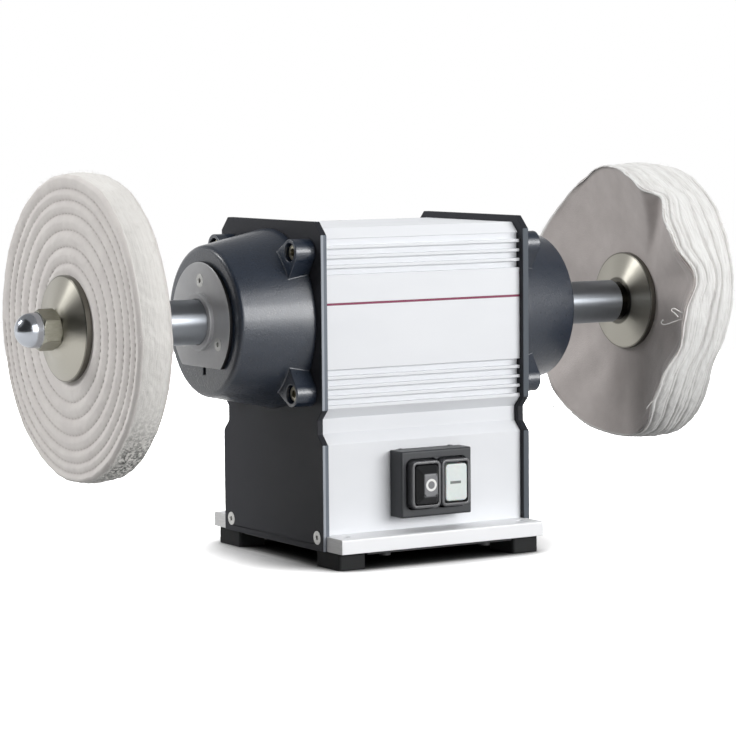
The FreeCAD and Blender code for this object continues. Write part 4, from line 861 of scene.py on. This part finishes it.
# The loose wheel's cloth is coloured darker than the sewn wheel's: partly a greyer cloth, partly painted
# shade where the machine keeps light off its inner face.
shaded_loose_tints = (196, 189, 186), (184, 177, 174), (160, 152, 149), (234, 234, 232)
loose_cotton = cotton("loose_cotton", *shaded_loose_tints, 0.35)
loose_mesh = loose.mesh("loose_wheel")
show("loose_wheel", loose_mesh, loose_cotton, "spindle", ["polishing_wheel_right"])
loose_growth = {"Density": 16000.0, "Seed": 9, "Cloth": fibre_cotton.material}
grown("loose_wheel_fibres", rim_only(loose_mesh, loose_fringe_from), fibre_tree, **loose_growth)


def thread_end(route, thickness=0.0008):
    """One frayed thread, as a thin tube along a smooth line."""
    bend = bpy.data.curves.new("thread", "CURVE")
    bend.dimensions = "3D"
    bend.bevel_depth = thickness / 2
    bend.bevel_resolution = 1
    bend.resolution_u = 6
    bend.use_fill_caps = True
    line = bend.splines.new("NURBS")
    line.points.add(len(route) - 1)
    for knot, (degrees, x, radius) in zip(line.points, route):
        turn = math.radians(degrees)
        knot.co = (x, radius * math.cos(turn), spindle_z + radius * math.sin(turn), 1)
    line.order_u = 3
    line.use_endpoint_u = True
    return settled(bpy.data.objects.new("thread", bend))


# Degrees round the spindle, place along it and distance from it.
frays = [
    [(182.5, 0.196, 0.0985), (181.5, 0.1915, 0.0962), (180.1, 0.188, 0.0963), (179.9, 0.186, 0.0943),
     (181.0, 0.185, 0.0945), (181.7, 0.186, 0.0978), (183.3, 0.188, 0.0987)],
    [(184.4, 0.195, 0.0975), (184.9, 0.191, 0.0952), (185.9, 0.188, 0.0933), (187.0, 0.186, 0.0904),
     (188.0, 0.185, 0.0861), (186.8, 0.184, 0.0837), (185.5, 0.184, 0.0870)],
    [(150, 0.1955, 0.0990), (148, 0.1915, 0.0990), (146, 0.1895, 0.1005)],
    [(221, 0.1880, 0.0985), (223, 0.1840, 0.0985), (226, 0.1825, 0.1000)],
    [(300, 0.1900, 0.0985), (303, 0.1870, 0.0960), (306, 0.1860, 0.0920), (304, 0.1840, 0.0890)],
]
fray_shape = bmesh.new()
for fray in frays:
    fray_shape.from_mesh(thread_end(fray))
fray_mesh = mesh_of(fray_shape, "loose_wheel_threads")
fray_mesh.shade_smooth()
show("loose_wheel_threads", fray_mesh, fibre_cotton, "spindle")

# ------------------------ switch
# A moulded black box with a soft sealing boot whose lips stand round the two buttons. The stop
# button is a grey frustum with a ring, the start button a white block with a bar.

moulded_black = Finish("moulded_black", Specular_IOR_Level=0.3)
moulded_black.vary(0.008, (46, 48, 51), (58, 60, 63), 0.36, 0.5)
moulded_black.relief(moulded_black.grain(0.0006, detail=4.0), 0.00003)
softened("switch_box", "switch_housing", 0.0007, moulded_black, "frame", "switch_black", 3)

screw_black = Finish("blackened_screw", Metallic=0.85)
screw_black.vary(0.0009, (58, 58, 60), (92, 91, 89), 0.28, 0.5)
dress(screw_black, "switch_screws")

boot = Finish("boot_rubber_glossy", IOR=1.5, Coat_Weight=0.5, Coat_Roughness=0.15)
boot.vary(0.004, (56, 57, 60), (80, 81, 84), 0.28, 0.42, detail=4.0)
softened("sealing_boot", "switch_boot", 0.0005, boot, "frame", "boot_rubber", 3)

switch_z = middle("switch_boot", 2)
stop_face_y, _ = span("stop_button", 1)
ring_radius, ring_half = 0.0034, 0.0008
stop_plastic = Finish("stop_button_plastic", Specular_IOR_Level=0.35)
stop_x, stop_y, stop_z = stop_plastic.axes((middle("stop_button", 0), stop_face_y, switch_z + 0.0003))
from_ring = stop_plastic.calc("SUBTRACT", stop_plastic.reach(stop_x, stop_z), ring_radius)
stop_face = stop_plastic.fit(stop_y, 1.0, 0.0, 0.0004, 0.0008)
stop_base = stop_plastic.blend(stop_face, tint(16, 17, 20), tint(118, 119, 122))
stop_mark = stop_plastic.calc("MULTIPLY", stop_plastic.within(from_ring, ring_half, 0.0001), stop_face)
stop_plastic.colour(stop_plastic.blend(stop_mark, stop_base, tint(234, 234, 232)))
stop_plastic.rough(stop_plastic.fit(stop_plastic.grain(0.002, detail=4.0), 0.3, 0.45))
softened("stop_push", "stop_button", 0.0004, stop_plastic, "stop_button", "stop_grey", 3)

start_face_y, _ = span("start_button", 1)
bar_x, bar_half_width, bar_half_height = 0.0110, 0.0043, 0.0009
start_plastic = Finish("start_button_plastic", IOR=1.5, Subsurface_Weight=0.15, Subsurface_Scale=0.002)
start_x, start_y, start_z = start_plastic.axes((bar_x, start_face_y, switch_z))
across_bar = start_plastic.within(start_x, bar_half_width, 0.0001)
up_bar = start_plastic.within(start_z, bar_half_height, 0.0001)
on_face = start_plastic.fit(start_y, 1.0, 0.0, 0.0003, 0.0006)
bar = start_plastic.calc("MULTIPLY", start_plastic.calc("MULTIPLY", across_bar, up_bar), on_face)
milky = start_plastic.blend(start_plastic.grain(0.003), tint(214, 222, 220), tint(230, 236, 234))
start_plastic.colour(start_plastic.blend(bar, milky, tint(104, 110, 109)))
start_plastic.rough(start_plastic.fit(start_plastic.grain(0.001), 0.3, 0.42))
softened("start_push", "start_button", 0.0006, start_plastic, "start_button", "start_white", 3)

# A bowed leaf spring lies behind each button; in use it flattens as the button goes in. Each one
# gets a mesh of its own here.
for button in ("start", "stop"):
    name, node = button + "_leaf_spring", button + "_button_spring"
    leaf = show(name, mesh_of(merged(node), name), spring_steel, "frame", [node])
    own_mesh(leaf)

# ------------------------ electrical parts and cable entry
# Behind the panel: the contact block, the motor capacitor in its drawn can, the terminal block and
# the leads. A moulded gland with its clamping nut takes the mains cable in at the rear.

block_plastic = Finish("contact_block_plastic", IOR=1.5)
block_plastic.vary(0.003, (60, 60, 62), (84, 84, 84), 0.4, 0.6)
dress(block_plastic, "switch_body")

can = Finish("drawn_can", Metallic=0.7)
can.vary(0.001, (176, 178, 182), (206, 208, 210), 0.3, 0.45, stretch=(30, 1, 1))
dress(can, "run_capacitor")
dress(spring_steel, "capacitor_clip")

terminal = Finish("terminal_plastic_milky", IOR=1.5, Subsurface_Weight=0.1, Subsurface_Scale=0.002)
terminal.vary(0.002, (206, 204, 194), (226, 224, 214), 0.35, 0.5)
dress(terminal, "terminal_block")

insulation = Finish("lead_insulation_brown", IOR=1.5)
insulation.vary(0.004, (96, 58, 36), (120, 74, 48), 0.35, 0.5)
dress(insulation, "internal_leads")

gland = Finish("gland_polyamide", IOR=1.5)
gland.vary(0.0015, (36, 36, 38), (48, 48, 50), 0.42, 0.58, 0.00003, detail=4.0)
dress(gland, "gland_locknut", "cable_gland")
softened("gland_clamping_nut", "gland_nut", 0.0004, gland, "frame", "gland_plastic")

# ------------------------ floor, light and camera
# A round white floor under a dim dome. A soft box and a wide panel stand in front, two soft boxes
# behind on the left, one hangs above, and two black cards darken the edges of bright metal.

floor_radius, floor_corners = 1.7, 72
floor_rim = []
for step in range(floor_corners):
    turn = step * math.tau / floor_corners
    floor_rim.append((floor_radius * math.cos(turn), floor_radius * math.sin(turn), 0.0))


def set_piece(name, corners, finish):
    """A flat piece of the set, which isn't part of the object."""
    mesh = bpy.data.meshes.new(name)
    mesh.from_pydata(corners, [], [list(range(len(corners)))])
    mesh.materials.append(finish.material)
    piece = bpy.data.objects.new(name, mesh)
    scene.collection.objects.link(piece)
    return piece


def grey(level):
    return (level, level, level, 1)


# The camera sees white paper with soft contact shadows, and gloss sees it plain white.
floor_paper = Finish("floor_paper", Roughness=1.0, Specular_IOR_Level=0.0)
seen_rays = add_node(floor_paper.tree, "ShaderNodeLightPath", {})
mirrored = floor_paper.calc("MAXIMUM", seen_rays["Is Glossy Ray"], seen_rays["Is Transmission Ray"])
floor_x, floor_y, _ = floor_paper.axes()
far_out = floor_paper.fit(floor_paper.reach(floor_x, floor_y), 0.0, 1.0, 0.7, 1.6)
# Painted shadow: ambient occlusion, squared, darkens the floor's colour for the camera near the object.
contact = floor_paper.add("AmbientOcclusion", {"Distance": 0.06}, "Color", samples=16)
shade = {"data_type": "RGBA", "blend_type": "MULTIPLY"}
deep_contact = floor_paper.add("Mix", {0: 1.0, 6: contact, 7: contact}, 2, **shade)
bright = floor_paper.blend(far_out, grey(2.6), grey(9.0))
shown = floor_paper.add("Mix", {0: 1.0, 6: bright, 7: deep_contact}, 2, **shade)
lit = floor_paper.blend(mirrored, grey(0.38), grey(1.0))
floor_paper.colour(floor_paper.blend(seen_rays["Is Camera Ray"], lit, shown))
set_piece("studio_floor", floor_rim, floor_paper)

# The camera and gloss see the dome white low down and grey above. As a light it is dim.
world = bpy.data.worlds.new("studio")
scene.world = world
world.use_nodes = True
sky = world.node_tree
dome = sky.nodes["Background"].inputs
look = add_node(sky, "ShaderNodeTexCoord", {})["Generated"]
height = add_node(sky, "ShaderNodeSeparateXYZ", {0: look})[2]
fall = {"Value": height, "From Min": 0.15, "From Max": 0.45, "To Min": 1.0, "To Max": 0.35}
backdrop = add_node(sky, "ShaderNodeMapRange", fall)[0]
path = add_node(sky, "ShaderNodeLightPath", {})
seen = path["Is Camera Ray"]
for kind in ("Is Glossy Ray", "Is Transmission Ray"):
    seen = add_node(sky, "ShaderNodeMath", {0: seen, 1: path[kind]}, operation="MAXIMUM")[0]
level = add_node(sky, "ShaderNodeMix", {0: seen, 2: 0.12, 3: backdrop}, data_type="FLOAT")[0]
fill(sky, dome["Color"], grey(1))
fill(sky, dome["Strength"], level)


def soft_box(name, place, aim_z, width, tall, power):
    """A rectangular soft box that faces the object at one height."""
    lamp = bpy.data.lights.new(name, "AREA")
    lamp.shape = "RECTANGLE"
    lamp.size, lamp.size_y, lamp.energy = width, tall, power
    box = bpy.data.objects.new(name, lamp)
    scene.collection.objects.link(box)
    box.location = place
    box.rotation_euler = (Vector((0, 0, aim_z)) - Vector(place)).to_track_quat("-Z", "Y").to_euler()
    box.visible_camera = False
    return box


# The front panel shows in gloss alone, and the boxes at the left and above show in none.
soft_box("front_box", (0.80, -1.95, 0.62), 0.16, 1.8, 0.75, 35)
soft_box("front_panel", (0.40, -2.00, 0.80), 0.16, 3.0, 1.8, 55).visible_diffuse = False
soft_box("left_box", (-1.70, 0.90, 0.85), 0.15, 1.1, 0.9, 13.5).visible_glossy = False
soft_box("back_box", (-1.60, 1.05, 1.28), 0.16, 0.8, 0.6, 20)
soft_box("top_box", (0.10, -0.30, 2.20), 0.10, 1.8, 1.8, 23).visible_glossy = False

# Only gloss shows the cards.
card_black = Finish("card_black", Roughness=1.0, Base_Color=grey(0.06), Specular_IOR_Level=0.0)
card_top, card_front, left_x, left_end, front_half = 2.6, -2.8, -1.3, 0.9, 2.7
left_foot = [(left_x, card_front, 0.001), (left_x, left_end, 0.001)]
front_foot = [(-front_half, card_front, 0.01), (front_half, card_front, 0.01)]
for name, foot in (("left_card", left_foot), ("front_card", front_foot)):
    top = [(x, y, card_top) for x, y, _ in foot[::-1]]
    card = set_piece(name, foot + top, card_black)
    card.visible_camera = card.visible_diffuse = card.visible_shadow = False

camera_data = bpy.data.cameras.new("camera")
camera_data.sensor_width = 36.0
camera_data.lens = 148.67
camera_data.clip_start, camera_data.clip_end = 0.05, 50.0
camera = bpy.data.objects.new("camera", camera_data)
scene.collection.objects.link(camera)
yaw, pitch, roll = math.radians(31.65), math.radians(-4.99), math.radians(-0.49)
ahead = Vector((math.sin(yaw) * math.cos(pitch), math.cos(yaw) * math.cos(pitch), math.sin(pitch)))
across = Vector((math.cos(yaw), -math.sin(yaw), 0))
upward = across.cross(ahead)
level_across = across * math.cos(roll) + upward * math.sin(roll)
level_up = upward * math.cos(roll) - across * math.sin(roll)
facing = Matrix((level_across, level_up, -ahead)).transposed().to_4x4()
camera.matrix_world = Matrix.Translation((-1.10702, -1.78656, 0.30871)) @ facing
scene.camera = camera
scene.view_settings.view_transform = "Standard"
